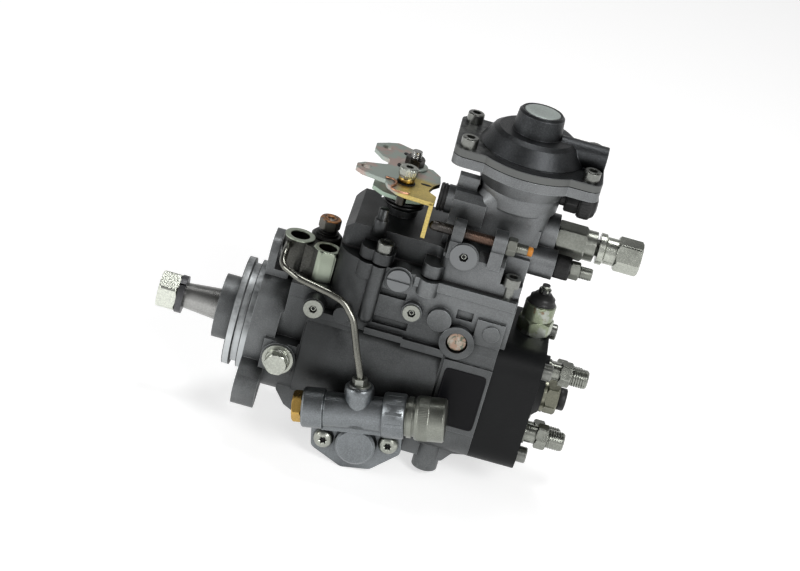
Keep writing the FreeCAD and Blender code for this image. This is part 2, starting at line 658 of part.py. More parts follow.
def governor_levers():
    axis = (0, GEAR_DISTANCE)
    bore = d.governor_pin_radius + d.running_gap
    front, tip = d.sleeve_front, d.sleeve_tip
    inner_end = d.governor_pin_end + 2
    finish(turned("x", [(front, bore), (front, d.sleeve_flange_radius),
                        (front + 2, d.sleeve_flange_radius), (front + 2, d.sleeve_radius),
                        (inner_end - 1, d.sleeve_radius), (tip - 1.5, 4), (tip, 1.5), (tip, 0),
                        (inner_end, 0), (inner_end, bore)], axis), "governor_sleeve")
    px, pz = d.lever_pivot_x, d.lever_pivot_z
    face = tip + d.lever_gap
    plate_body = plate("x", face, face + d.lever_thickness,
                       [(-9, pz), (9, pz), (9, GEAR_DISTANCE + 10), (5, d.lever_top),
                        (-5, d.lever_top), (-9, GEAR_DISTANCE + 10)], 1.5)
    lever = fuse(plate_body, rod("y", -9, 9, 5.5, (px, pz)), rod("y", -26, 33, 3, (px, pz)),
                 block(px - 2, px + 2, -3, 3, 14.5, pz), rod("z", d.ball_z, 16, 1.7, (px, 0)),
                 ball((px, 0, d.ball_z), 2.3))
    finish(lever, "governor_lever")
    sleeve = ring("x", d.spill_start, d.spill_start + d.spill_length, d.spill_radius,
                  d.plunger_radius + d.running_gap)
    finish(cut(sleeve, rod("z", d.plunger_radius - 1, 14, 2.7, (px, 0))), "control_sleeve")


# Roller ring, rollers, cam plate and plunger
CAM_FACE = d.roller_centre + d.roller_radius + d.part_gap + d.cam_lift


def roller_ring():
    body = ring("x", d.ring_start, d.ring_end, d.main_bore_radius - d.fit_gap,
                d.ring_hole_radius)
    rollers, slots = [], []
    centre = (d.roller_centre, 0)
    for number in range(4):
        angle = 45 + 90 * number
        roller = fuse(rod("z", 16, 16 + d.roller_length, d.roller_radius, centre),
                      rod("z", 15.5, 28, 2, centre))
        slot = fuse(rod("z", 10, 16 + d.roller_length + 0.4, d.roller_radius + d.part_gap, centre),
                    rod("z", 20, 28.2, 2 + d.fit_gap, centre))
        rollers.append(around(roller, "x", (0, 0), angle))
        slots.append(around(slot, "x", (0, 0), angle))
    pin = rod("z", d.timing_z - 4, -d.main_bore_radius + 3, d.timing_pin_radius, (d.timing_x, 0))
    finish(group(fuse(cut(body, *slots), pin), *rollers), "roller_ring")


def cam_plate():
    face, back = CAM_FACE, CAM_FACE + d.cam_thickness
    lobe_radius = 9
    lobes = []
    for number in range(4):
        wave = rod("z", 14, d.cam_radius, lobe_radius, (face - d.cam_lift + lobe_radius, 0))
        lobe = common(wave, ring("x", face - d.cam_lift - 1, face + 3, d.cam_radius, 15))
        lobes.append(around(lobe, "x", (0, 0), 90 * number))
    tang = block(62.5, 72, -3.9, 3.9, -9.5, 9.5)
    body = fuse(rod("x", face, back, d.cam_radius), rod("x", 70, face + 1, 10), tang, *lobes)
    finish(body, "cam_plate")
    foot = back + 3
    finish(turned("x", [(back, 0), (back, 9), (foot, 9), (foot, d.plunger_radius),
                        (d.plunger_end - 1, d.plunger_radius),
                        (d.plunger_end, d.plunger_radius - 1), (d.plunger_end, 0)]), "plunger")


# The hydraulic timing piston, its covers and the cold-start device
def timing_piston():
    half = d.timing_piston_half
    spot = (d.timing_x, d.timing_z)
    body = rod("y", -half, half, d.timing_bore_radius - d.fit_gap, spot)
    finish(cut(body, rod("z", d.timing_z - 6.5, d.timing_z + 12, d.timing_slot_radius,
                         (d.timing_x, 0))), "timing_piston")


def timing_covers():
    seat = d.timing_boss_half
    face = seat + d.timing_flange
    rise, out = d.cold_axis_rise, d.cold_axis_out
    line = (-out, rise)
    cap = turned("y", [(face - 1, 0), (face - 1, d.timing_cap_radius + 0.7),
                       (d.timing_cap_face - 1.5, d.timing_cap_radius),
                       (d.timing_cap_face, d.timing_cap_radius - 1.5), (d.timing_cap_face, 0)])
    saddle = block(-20, 17, -out, -seat, 12, rise)
    middle = rod("x", -20, 17, d.cold_radius, line)
    left = turned("x", [(-31.5, 0), (-31.5, 11.4), (-30.5, 12.2), (-19, 12.2), (-18, 10.5),
                        (-18, 0)], line)
    right = fuse(hexagon("x", 17, 30, 24.5, line, 0), hexagon("x", 17, 30, 24.5, line, 30))
    neck = rod("z", rise, 39, 5.5, (1.7, -out))
    shanks = [rod("y", seat - 1, face + 1, 2.55, (d.timing_screw_spread * side,
                                                  d.timing_screw_rise)) for side in (-1, 1)]
    body = cut(fuse(plate("y", seat, face, flange_outline(), 5.0), cap, saddle, middle, left,
                    right, neck), *shanks, rod("z", 30, 40, 2.2, (1.7, -out)),
               rod("x", -32, -26, 5, line))
    finish(lean(body), "timing_cover")
    plug = fuse(hexagon("x", -37.5, -31.5, 17, line), rod("x", -31.5, -26, 4.95, line))
    finish(lean(plug), "brass_plug")
    collar = fuse(rod("x", 30, 36, 11.4, line), rod("x", 31.5, 34.5, 12.4, line))
    cap_end = turned("x", [(36, 0), (36, 12.6), (37, 13.3), (53, 13.3), (54, 12.3), (54, 0)],
                     line)
    finish(lean(fuse(collar, cap_end)), "cold_start_cap")
    rear_cap = turned("y", [(-seat - d.timing_flange - 7, 0), (-seat - d.timing_flange - 7, 11),
                            (-seat - d.timing_flange - 6, 12.5), (-seat - 1, 13), (-seat - 1, 0)])
    rear = fuse(plate("y", -face, -seat, flange_outline(), 5.0), rear_cap)
    rear_shanks = [rod("y", -face - 1, -seat + 1, 2.55, (d.timing_screw_spread * side,
                                                         d.timing_screw_rise))
                   for side in (-1, 1)]
    finish(lean(cut(rear, *rear_shanks)), "timing_cover_rear")
    screws = []
    for side in (-1, 1):
        spot = (d.timing_screw_spread * side, d.timing_screw_rise)
        for seat_face, way in ((face, 1), (-face, -1)):
            profile = [(-17 * way, 0), (-17 * way, 2.5), (0, 2.5), (0, 6), (1.2 * way, 6),
                       (3.2 * way, 5.3), (4.4 * way, 3.8), (4.4 * way, 0)]
            recess = hexagon("y", size(seat_face) + 3.4 * way - 1.4,
                             size(seat_face) + 3.4 * way + 1.4, 4.6, spot, 15)
            screws.append(cut(turned("y", profile, spot, seat_face), recess))
    finish(lean(*screws), "timing_cover_screws")


# The steel pressure pipe from the cold-start device to the inlet block
PIPE_ROUTE = [(75.0, -57, -7.3), (72.0, -57, 8.1), (66.1, -54, 21.9), (59.5, -49.5, 38.5),
              (51.5, -47, 47), (41.6, -46, 49.6), (22.7, -43.5, 52), (9.6, -35, 54),
              (9.6, -26, 59.5), (9.6, -15, 59.5)]


def tube(points, radius, bend):
    """A tube along straight runs joined by tangent arcs."""
    spots = [FreeCAD.Vector(*p) for p in points]
    edges, start = [], spots[0]
    for before, corner, after in zip(spots, spots[1:], spots[2:]):
        one, two = (before - corner).normalize(), (after - corner).normalize()
        half = one.getAngle(two) / 2
        reach = min(bend / math.tan(half), 0.45 * before.distanceToPoint(corner),
                    0.45 * after.distanceToPoint(corner))
        enter, leave = corner + one * reach, corner + two * reach
        arc_radius = reach * math.tan(half)
        middle = corner + (one + two).normalize() * (arc_radius / math.sin(half) - arc_radius)
        edges.append(Part.LineSegment(start, enter).toShape())
        edges.append(Part.Arc(enter, middle, leave).toShape())
        start = leave
    edges.append(Part.LineSegment(start, spots[-1]).toShape())
    path = Part.Wire(edges)
    rim = Part.Wire([Part.Circle(spots[0], spots[1] - spots[0], radius).toShape()])
    item = doc.addObject("Part::Feature", "tube")
    item.Shape = path.makePipeShell([rim], True, False)
    return item


def pressure_pipe():
    finish(tube(PIPE_ROUTE, 2.1, 14), "pressure_pipe")
    out = d.cold_axis_out
    bore = rod("z", 38, 52, 2.3, (1.7, -out))
    collar = cut(turned("z", [(39, 0), (39, 6.4), (40.5, 7.4), (44, 7.4), (45.5, 6), (45.5, 0)],
                        (1.7, -out)), bore)
    nut = cut(hexagon("z", 45.5, 49.5, 8, (1.7, -out)), bore)
    finish(lean(group(collar, nut)), "pipe_fittings")


# The inlet block, its union and the lock screw
UNION = (29.6, 8)


def inlet():
    low, high = SHOULDER, 64
    far_eye, near_eye = (14.9, -9), (33.2, -16.5)
    web = plate("z", low, high - 1.5, [(16, -15), (31, -22), (34, -10), (18, -3)], 1.0)
    body = fuse(rod("z", low, high, 9.2, far_eye), 
                hexagon("z", low, high, 15.6, near_eye, 12), web,
                block(34, 39.6, -23, -10, low, high - 2))
    finish(cut(body, rod("z", 47, high + 1, 6, far_eye), rod("z", 47, high + 1, 5.6, near_eye),
               block(39.7, 50, -40, 0, low - 1, high + 1),
               rod("y", 13.5, 25, 2.15, (PIPE_ROUTE[-1][0], PIPE_ROUTE[-1][2]))),
           "inlet_block")
    union = turned("z", [(low, 0), (low, 9.5), (61, 9.5), (62, 8.5), (62, 7), (63.5, 7), (64, 5.4),
                         (67, 5.4), (67, 0)], UNION)
    finish(cut(fuse(union, hexagon("z", 66, 72.5, 12, UNION, 10)), rod("z", 66, 74, 4, UNION)),
           "inlet_union")
    spot = (21.7, -2)
    washer = ring("y", 45, 46.5, 9.4, 5.3, spot)
    head = fuse(turned("y", [(31, 0), (31, 5), (46.5, 5), (46.5, 7.5), (48, 7), (49, 5), (49, 0)],
                       spot), hexagon("y", 48, 54, 12.5, spot))
    finish(group(washer, head), "lock_screw")


# Plugs on the near side
def near_plugs():
    def socket_plug(seat, shank, shank_radius, head_radius, spot, socket):
        body = turned("y", [(seat - shank, 0), (seat - shank, shank_radius),
                            (seat, shank_radius), (seat, head_radius),
                            (seat + 1.2, head_radius), (seat + 1.2, 0)], spot)
        return cut(body, hexagon("y", seat - 3, seat + 2, socket, spot))
    ring_plug = socket_plug(44, 8, 2.95, 5.8, (34.7, 36), 4.5)
    side_plug = socket_plug(42.5, 9, 3.55, 5.2, (91.2, 49.8), 4.5)
    pivot_plug = socket_plug(38.3, 7, 3.9, 8.2, (111.7, d.cover_top + 3.5), 5)
    height = d.split_height - 6
    slotted = cut(rod("y", 33, 40, 7, (78.9, height)),
                  block(70, 88, -41, -39, height - 0.6, height + 0.6))
    finish(group(ring_plug, side_plug, pivot_plug, slotted), "side_plugs")
    cap = turned("y", [(36, 0), (36, 6.5), (39.5, 6.5), (40.5, 5.5), (40.5, 0)], (121.6, 38.2))
    finish(cap, "tamper_cap")


# The distributor head and what screws into it
HEAD_END = d.housing_end + d.head_length
PLUG_SEAT = HEAD_END + d.head_boss_length


def outlets():
    """Place and seat of each delivery valve holder; the upper two stand on bosses."""
    places = []
    for number in range(4):
        angle = math.radians(SIZES["outlet_turn"] + 90 * number)
        across = (-d.outlet_circle_radius * math.sin(angle),
                  d.outlet_circle_radius * math.cos(angle) - d.outlet_centre_drop)
        raised = across[1].value > 0
        places.append((across, HEAD_END + d.outlet_boss if raised else HEAD_END))
    return places


def distributor_head():
    half = d.block_half
    square = [(-half, -half), (half, -half), (half, half), (-half, half)]
    body = fuse(plate("x", d.housing_end, HEAD_END, square, d.block_corner),
                rod("x", d.housing_end - d.spigot_length, d.housing_end + 1,
                    d.main_bore_radius - d.fit_gap),
                cone("x", HEAD_END, PLUG_SEAT, 17.5, 11.5),
                *[rod("x", HEAD_END - 1, seat, d.outlet_boss_radius, across)
                  for across, seat in outlets() if seat is not HEAD_END])
    bores = [rod("x", d.housing_end - 9, d.barrel_insert_end, d.barrel_outer_radius),
             rod("x", d.barrel_insert_end - 1, PLUG_SEAT + 1, 7.05),
             rod("z", 30, half + 1, 7.05, (d.solenoid_x, 0)),
            rod("z", 17, 31, 4.2, (d.solenoid_x, 0))]
    bores += [rod("x", seat - d.holder_sink, seat + 1, d.holder_radius + d.screw_gap, across)
              for across, seat in outlets()]
    bores += [rod("x", d.housing_end - 1, HEAD_END + 1, d.screw_radius + d.screw_gap, spot)
              for spot in HEAD_SCREWS]
    finish(cut(body, *bores), "distributor_head")
    finish(ring("x", d.barrel_insert_start, d.barrel_insert_end, d.barrel_outer_radius,
                d.plunger_radius + d.running_gap), "distributor_barrel")


def delivery_valves():
    holders, valves = [], []
    bore = d.holder_bore_radius
    for across, seat in outlets():
        hex_start = seat + d.holder_body
        thread_start = hex_start + d.holder_hex
        end = thread_start + d.holder_thread
        radius = d.holder_radius
        shank = turned("x", [(seat - d.holder_sink, 0), (seat - d.holder_sink, radius),
                             (end - 0.8, radius), (end, radius - 0.8), (end, 0)], across)
        collar = rod("x", seat, seat + 1.5, radius + 1.2, across)
        nut = hexagon("x", hex_start, thread_start, d.holder_flats, across)
        outlet = cone("x", end - 2.5, end + 0.1, bore, bore + 1.6, across)
        holders.append(cut(fuse(shank, collar, nut), outlet,
                           rod("x", seat - d.holder_sink - 1, end + 1, bore, across)))
        valve = seat - d.holder_sink + 1
        valves.append(turned("x", [(valve, 0), (valve, 1.2), (valve + 1, bore - d.fit_gap),
                                   (valve + 5, bore - d.fit_gap), (valve + 5, 1.2),
                                   (valve + 7, 1.2), (valve + 7, 0)], across))
    finish(group(*holders), "delivery_holders")
    finish(group(*valves), "delivery_valves")


def central_plug():
    hex_end = PLUG_SEAT + 10
    body = fuse(turned("x", [(d.barrel_insert_end, 0), (d.barrel_insert_end, 7), (PLUG_SEAT, 7),
                             (PLUG_SEAT, 11), (PLUG_SEAT + 2, 11), (PLUG_SEAT + 2, 6.7),
                             (hex_end + 3.5, 6.7), (hex_end + 4.5, 5.7), (hex_end + 4.5, 0)]),
                hexagon("x", PLUG_SEAT + 2, hex_end, d.plug_flats, (0, 0), 12))
    finish(body, "central_plug")


def shutoff_solenoid():
    spot = (d.solenoid_x, 0)
    base = d.block_half
    body = fuse(rod("z", base - 8, base + 2, 7, spot), hexagon("z", base, base + 9.5, 20, spot, 15),
                turned("z", [(base + 9, 0), (base + 9, 9.6), (base + 19, 9.6), (base + 20, 8.6),
                             (base + 20, 0)], spot))
    finish(cut(body, rod("z", base - 9, base + 6, 3.6, spot)), "shutoff_solenoid")
    hood = turned("z", [(base + 20, 0), (base + 20, 7), (base + 21, 7), (base + 24.5, 4.6),
                        (base + 25.5, 4.6), (base + 25.5, 2.4), (base + 31.5, 2.4),
                        (base + 31.5, 0)], spot)
    finish(fuse(hood, hexagon("z", base + 26, base + 29, 7, spot, 15)), "solenoid_terminal")
    finish(turned("z", [(base - 19, 0), (base - 19, 2), (base - 16, 3.5), (base + 3, 3.5),
                        (base + 3, 0)], spot), "solenoid_armature")


# The governor cover with the boost compensator on it
def governor_cover():
    bottom, top = d.cover_bottom, d.cover_top
    near, shallow, step = d.cover_near, d.cover_lever_near, d.cover_step_x
    seat, near_top, slope = d.screw_seat, d.cover_near_top, d.cover_slope
    base = plate("z", bottom, top, [(d.deck_start, -shallow), (step, -shallow), (step, -near),
                                    (d.deck_end, -near), (d.deck_end, d.deck_far),
                                    (d.deck_start, d.deck_far)], 5.5)
    left_slope = plate("y", -50, 50, [(d.deck_start - 1, top + 1), (d.deck_start - 1, top - slope),
                                      (d.deck_start + slope, top + 1)])
    near_slope = plate("x", step - 1, d.deck_end + 1, [
        (-near - 1, near_top + 1), (-near - 1, near_top - slope), (-near + slope, near_top + 1)])
    shell = cut(fuse(base, block(step, d.deck_end, -near, -16, top, near_top)),
                left_slope, near_slope)
    boost = (d.boost_x, 0)
    face = d.boost_face
    rim = face - d.boost_lower
    bowl = turned("z", [(top + 12, 0), (top + 12, 13), (top + 20, 15), (top + 24, 18.5),
                        (rim - 23, 21.5), (rim - 14, 23), (rim - 12, 25), (rim - 5, 27.5),
                        (rim + 1, 29.5), (rim + 1, 0)], boost)
    pin = (d.control_x, d.control_y)
    posts = [fuse(block(x0, x1, -38, -26, top, d.stop_z),
                  rod("x", x0, x1, 7.5, (-d.stop_y + 1.5, d.stop_z))) for x0, x1 in STOP_POSTS]
    middle = top + 15.5
    spring_line = (-13, top + 26)
    body = fuse(
        shell, bowl, *posts, boost_flange(rim, face),
        block(97, 152, -18, 20, top, top + 23),
        rod("x", 138, 162, 13.5, (0, middle)),
        rod("x", 138, 165, 9.1, (-15, top + 3.8)),
        rod("x", 93, 99, 8.6, spring_line),
        plate("x", 97, 117, [(-21.5, top + 16), (-5, top + 16), (-5, top + 34.5),
                             (-17, top + 34.5), (-21.5, top + 30)], 0.8),
        block(97, 109, -12, -5, top + 23, top + 42),
        rod("y", 30, 38.3, 8.8, (111.7, top + 3.5)),
        rod("z", bottom, d.hub_top, 9.5, pin),
        rod("z", bottom, seat, 6.5, COVER_SCREWS[0]),
        block(60, 73, -34, -22, bottom, seat),
        rod("z", bottom, seat, 6.5, COVER_SCREWS[2]),
        rod("z", bottom, seat, 6.5, COVER_SCREWS[3]),
        rod("z", bottom, seat, 6.5, (58.7, -31)),
        block(53, 64, -31, -22, bottom, seat),
        rod("z", bottom, seat + 1, 6.2, (96.3, -34)),
        block(90.5, 101, -34, -22, bottom, seat + 1))
    inner_end = d.deck_end - 7
    roof = top - 4
    gap = d.screw_gap
    cuts = [block(d.main_bore_start + 0.5, inner_end, -17, d.deck_far - d.chamber_wall,
                  bottom - 1, roof),
            block(136.5, 151, -37, -27.5, seat, near_top + 2),
            rod("z", seat, top + 8, 6, COVER_SCREWS[2]),
            rod("z", seat, top + 8, 6, COVER_SCREWS[3]),
            rod("z", roof - 1, d.hub_top + 1, d.control_radius + d.running_gap, pin),
            rod("z", roof - 1, top + 42, d.boost_pin_radius + d.running_gap, boost),
            rod("z", top + 40, face + 1, 22, boost), rod("z", face - 5.5, face + 1, 27, boost),
            rod("x", 154, 163, 5.05, (0, top + 41)),
            rod("x", 150, 163, 6, (0, middle)), rod("x", 150, 166, 4, (-15, top + 3.8)),
            rod("y", 30.5, 39, 4, (111.7, top + 3.5))]
    cuts += [rod("z", bottom - 1, seat + 1, d.screw_radius + gap, spot) for spot in COVER_SCREWS]
    cuts += [rod("z", rim - 1, face + 1, d.screw_radius + gap, spot) for spot in boost_ears()]
    cuts += [rod("x", 100, 136, d.screw_radius + gap, (-d.stop_y, d.stop_z))]
    finish(cut(body, *cuts), "governor_cover")
    gasket_outline = [(d.deck_start, -shallow), (step, -shallow), (step, -near),
                      (d.deck_end, -near), (d.deck_end, d.deck_far), (d.deck_start, d.deck_far)]
    gasket = cut(plate("z", d.split_height, bottom, gasket_outline, 5.5),
                 block(d.main_bore_start + 0.5, inner_end, -17, d.deck_far - d.chamber_wall,
                       d.split_height - 5, bottom + 5),
                 *[rod("z", d.split_height - 5, bottom + 5, d.screw_radius + gap, spot)
                   for spot in COVER_SCREWS])
    finish(gasket, "cover_gasket")


STOP_POSTS = ((101.5, 108.3), (126, 133.8))


def boost_ears():
    return [(d.boost_x + d.boost_ear_x * x, d.boost_ear_y * y)
            for x, y in ((-1, -1), (1, -1), (-1, 1), (1, 1))]


def boost_flange(low, high):
    """The outline that both halves of the compensator share."""
    reach_x = d.boost_ear_x + d.boost_ear_radius
    reach_y = d.boost_ear_y + d.boost_ear_radius
    outline = [(-reach_x, -reach_y), (reach_x, -reach_y), (reach_x, reach_y),
               (-reach_x, reach_y)]
    return fuse(plate("z", low, high, outline, 7.0, (d.boost_x, 0)),
                rod("z", low, high, d.boost_disc_radius, (d.boost_x, 0)))


def boost_compensator():
    face = d.boost_face
    seat = face + d.boost_upper
    crown = seat + d.dome_height
    top = crown + d.turret_height
    spot = (d.boost_x, 0)
    dome = turned("z", [(seat - 1, 0), (seat - 1, d.dome_radius), (seat + 1, d.dome_radius),
                        (crown - 2, d.dome_top_radius + 1), (crown, d.dome_top_radius - 2),
                        (crown, d.turret_radius + 0.5), (top - 1.5, d.turret_radius - 0.6),
                        (top, d.turret_radius - 2), (top, 0)], spot)
    stub = rod("x", d.boost_x + 15, 177, 8, (0, seat + 6))
    cavity = fuse(rod("z", face - 1, crown - 4, 23, spot), rod("z", face, top - 3, 11, spot))
    cuts = [cavity, rod("z", top - 0.8, top + 1, 12, spot), 
            rod("x", d.boost_x + 22.5, 178, 4.5, (0, seat + 6))]
    cuts += [rod("z", face - 1, seat + 8, d.screw_radius + d.screw_gap, ear)
             for ear in boost_ears()]
    cuts += [rod("z", seat, seat + 12, 6.2, ear) for ear in boost_ears()]
    cuts.append(rod("z", face - 1, face + 0.8, 33, spot))
    finish(cut(fuse(boost_flange(face, seat), dome, stub), *cuts), "boost_cover")
    core = d.boost_pin_radius
    middle = face - 4
    finish(turned("z", [(face + 0.8, 32.9), (face, 32.9), (face, 24.5), (middle, 20),
                        (middle, core + 0.05), (middle + 0.8, core + 0.05), (middle + 0.8, 19.6),
                        (face + 0.8, 24.1)], spot), "boost_diaphragm")
    finish(turned("z", [(d.cover_top + 2, 0), (d.cover_top + 2, 2.5),
                        (d.cover_top + 4, core), (middle - 3.5, core), (middle - 3.5, 17),
                        (middle - 0.2, 17), (middle - 0.2, core), (middle + 1, core),
                        (middle + 1, 17), (middle + 3.5, 17), (middle + 3.5, 0)], spot),
           "boost_pin")
    low, high = d.cover_top + 40.3, middle - 3.8
    spring = coil_sleeve("z", low, high, 11.5, 9, 4, spot)
    finish(spring, "boost_spring")


def socket_screws():
    screws = [socket_screw("z", d.screw_seat, 20, spot) for spot in COVER_SCREWS]
    screws += [socket_screw("x", HEAD_END, 42, spot) for spot in HEAD_SCREWS]
    seat = d.boost_face + d.boost_upper
    screws += [socket_screw("z", seat, 12, spot) for spot in boost_ears()]
    finish(group(*screws), "socket_screws")


def rear_fittings():
    """Overflow valve, full-load screw and breather elbow on the cover's rear."""
    line = (0, d.cover_top + 15.5)
    valve = fuse(rod("x", 151, 163, 5.95, line), hexagon("x", 162, 180, 19, line, 8),
                 turned("x", [(180, 0), (180, 9.3), (186, 9.3), (186.8, 5), (194.4, 5),
                              (194.4, 0)], line))
    finish(cut(valve, rod("x", 150, 195, 2.5, line)), "overflow_valve")
    nut = fuse(hexagon("x", 199, 214, 19, line, 8),
               turned("x", [(188, 4.5), (188, 9.6), (191.5, 9.6), (192.5, 8.2), (199.5, 8.2),
                            (199.5, 4.5)], line))
    nut = cut(nut, rod("x", 187, 194.7, 5.2, line), rod("x", 187, 215, 4.5, line))
    finish(nut, "overflow_nut")
    line = (-15, d.cover_top + 3.8)
    screw = fuse(rod("x", 151, 188, 3.5, line), hexagon("x", 174.6, 180.3, 10, line))
    finish(screw, "full_load_screw")
    finish(ring("x", 165, 174.6, 7.2, 3.6, line), "full_load_sleeve")


def breather():
    line = (0, d.cover_top + 41)
    elbow = fuse(turned("x", [(169, 0), (169, 8.5), (170.5, 9.2), (176, 9.2), (179, 7),
                              (180, 4), (180, 0)], line),
                 hexagon("x", 161, 169, 14, line), rod("x", 156.5, 162, 5, line))
    finish(elbow, "breather_elbow")
    knob = turned("x", [(88.2, 0), (88.2, 7.8), (89, 8.6), (90, 8.6), (90.4, 8), (90.8, 8.6),
                        (91.8, 8.6), (92.2, 8), (93, 8), (93, 0)], (-13, d.cover_top + 26))
    finish(knob, "spring_plug")


# Control shaft, lever and stop screw
def control_lever():
    spot = (d.control_x, d.control_y)
    plate_low, plate_high = d.plate_height, d.plate_height + d.lever_plate
    roof = d.cover_top - 4
    seat = plate_high + 0.5
    shaft = fuse(rod("z", roof - 5, seat, d.control_radius, spot),
                 rod("z", seat, seat + d.shaft_stud, 3.0, spot),
                 rod("z", roof - 4.5, roof - 0.5, 11.5, spot),
                 rod("z", roof - 13, roof - 4, 2.5, (d.control_x + d.crank_throw, d.control_y)))
    finish(shaft, "control_shaft")
    upper = plate("z", plate_low, plate_high, [
        (37, -14), (41.5, -18), (56, -21.5), (58, -28), (64, -34), (70, -36), (87, -37),
        (87, -27), (81.5, -21.5), (84, -12), (87.5, -6), (86.5, 5), (81, 12.5), (75, 12),
        (66, 36), (57, 40), (51, 36.5), (44, 31), (44, 22), (50, 13), (55, 10), (54, 2),
        (41, -3.5), (37, -8)], 1.5)
    tab = block(84.1, 86.6, -38, -30, plate_low - 20, plate_low + 1)
    low_top = d.lower_plate + d.lever_plate
    lower = plate("z", d.lower_plate, low_top, [(49, 0), (49, -8), (56, -14), (70, -17), (80, -12),
                                    (82, 8), (76, 20), (60, 20), (50, 12)], 3.0)
    hub = fuse(rod("z", low_top - 0.5, plate_low, 8, spot),
               rod("z", d.hub_top + 0.4, low_top - 1, 7, spot))
    holes = [rod("z", plate_low - 1, plate_high + 1, 3.1, eye) for eye in LEVER_EYES]
    clamp_hole = rod("z", d.lower_plate - 1, plate_high + 1, 3.05, LEVER_SCREW)
    bore = rod("z", d.hub_top, plate_high + 1, d.control_radius + d.fit_gap, spot)
    body = cut(fuse(upper, tab, lower, hub), *holes, clamp_hole, bore)
    finish(body, "control_lever")
    high = plate_high
    clamp = fuse(turned("z", [(-14, 0), (-14, 3), (0, 3), (0, 4.2), (4, 4.2), (4, 5.2), (9.4, 5.2),
                              (10, 4.6), (10, 0)], LEVER_SCREW, high))
    clamp = cut(clamp, hexagon("z", high + 7, high + 11, 4.5, LEVER_SCREW))
    nut = cut(hexagon("z", high + 0.5, high + 6, 10.5, spot), rod("z", high, high + 7, 3.05, spot))
    washer = ring("z", high, high + 0.5, 6.5, d.control_radius + 0.05, spot)
    finish(group(clamp, nut, washer), "lever_fasteners")
    spring = coil_sleeve("z", d.hub_top + 1, d.lower_plate, 13, 7.05, 4, spot)
    finish(spring, "return_spring")


LEVER_EYES = ((42.5, -9.5), (51, 28.5))
LEVER_SCREW = (67.6, -17.6)


def stop_screw():
    line = (-d.stop_y, d.stop_z)
    screw = fuse(rod("x", 90, 146.5, d.screw_radius, line), ball((90, -d.stop_y, d.stop_z), 2.9))
    nut = cut(hexagon("x", 134.2, 139.7, 10, line), rod("x", 130, 142, d.screw_radius + 0.05, line))
    finish(group(screw, nut), "stop_screw")


drive_shaft()
shaft_fastening()
shaft_bearings()
supply_pump()
drive_gear()
governor_rotor()
flyweights()
governor_levers()
roller_ring()
cam_plate()
timing_piston()
timing_covers()
pressure_pipe()
inlet()
near_plugs()
distributor_head()
delivery_valves()
central_plug()
shutoff_solenoid()
governor_cover()
boost_compensator()
socket_screws()
rear_fittings()
breather()
control_lever()
stop_screw()


# Export
def check_and_write():
    doc.recompute()
    for item in doc.Objects:
        bad = {"Invalid", "Error"} & set(item.State)
        if bad:
            raise RuntimeError("%s (%s) did not build: %s" % (item.Name, item.Label, item.State))
    os.makedirs("parts", exist_ok=True)
    for item in PARTS:
        shape = item.Shape
        if shape.isNull() or not shape.isValid():
            raise RuntimeError(item.Label + " has no valid shape")
        shape.exportStep("parts/%s.step" % item.Label)
        print("%-22s solids %2d volume %9.1f" % (item.Label, len(shape.Solids), shape.Volume))


check_and_write()
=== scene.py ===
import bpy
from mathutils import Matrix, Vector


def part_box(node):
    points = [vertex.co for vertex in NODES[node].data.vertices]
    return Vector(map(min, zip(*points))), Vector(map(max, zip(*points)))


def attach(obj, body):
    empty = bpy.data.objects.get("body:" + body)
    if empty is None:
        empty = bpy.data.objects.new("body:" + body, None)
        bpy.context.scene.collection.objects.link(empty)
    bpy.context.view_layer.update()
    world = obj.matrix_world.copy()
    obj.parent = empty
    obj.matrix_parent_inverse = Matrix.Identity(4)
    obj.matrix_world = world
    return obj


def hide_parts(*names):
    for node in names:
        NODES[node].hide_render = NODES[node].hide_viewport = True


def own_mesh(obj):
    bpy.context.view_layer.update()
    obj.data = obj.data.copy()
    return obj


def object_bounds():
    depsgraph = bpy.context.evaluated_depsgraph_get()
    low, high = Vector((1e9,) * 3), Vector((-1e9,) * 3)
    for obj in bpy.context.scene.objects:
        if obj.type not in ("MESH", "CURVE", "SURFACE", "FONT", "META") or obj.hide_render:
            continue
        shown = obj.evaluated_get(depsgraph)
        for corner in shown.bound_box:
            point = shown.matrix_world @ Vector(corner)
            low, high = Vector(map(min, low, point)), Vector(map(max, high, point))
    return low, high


bl_info = {
    "name": "Injection pump dressing",
    "version": (1, 0, 0),
    "blender": (4, 5, 0),
    "location": "3D View > Sidebar > Pump",
    "description": "Finishes and fine pieces of a diesel injection pump around its fixed solids",
    "category": "Object",
}

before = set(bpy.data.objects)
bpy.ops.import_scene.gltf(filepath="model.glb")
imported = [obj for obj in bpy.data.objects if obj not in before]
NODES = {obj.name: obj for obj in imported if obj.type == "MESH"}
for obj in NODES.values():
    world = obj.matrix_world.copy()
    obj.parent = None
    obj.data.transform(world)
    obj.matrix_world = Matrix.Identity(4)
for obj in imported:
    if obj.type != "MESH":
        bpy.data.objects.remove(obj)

import math

import bpy
import numpy as np
from mathutils import Matrix, Vector

MM = 0.001
CAD_BOX = [list(map(float, corner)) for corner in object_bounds()]


# ---------------------------------------------------------------- places, in millimetres
# x and y of upright pieces
CONTROL_SHAFT = (69.4, 10.0)
CLAMP = (67.6, -17.6)
POST = (60.0, -24.5)
BOWL = (133.6, 0.0)
SOLENOID = (165.5, 0.0)
INLET_UNION = (29.6, 8.0)
COLD_START_NECK = (1.7, -57.0)
# y and z of pieces that lie along the shaft
SHAFT = (0.0, 0.0)
OVERFLOW = (0.0, 103.5)
FULL_LOAD = (-15.0, 91.8)
STOP_SCREW = (-34.0, 104.0)
BREATHER = (0.0, 129.0)
COLD_START_CAP = (-57.0, 26.5)

# x of the dark lines round the pilot
PILOT_LINES = (-12.8, -8.5, -4.0)

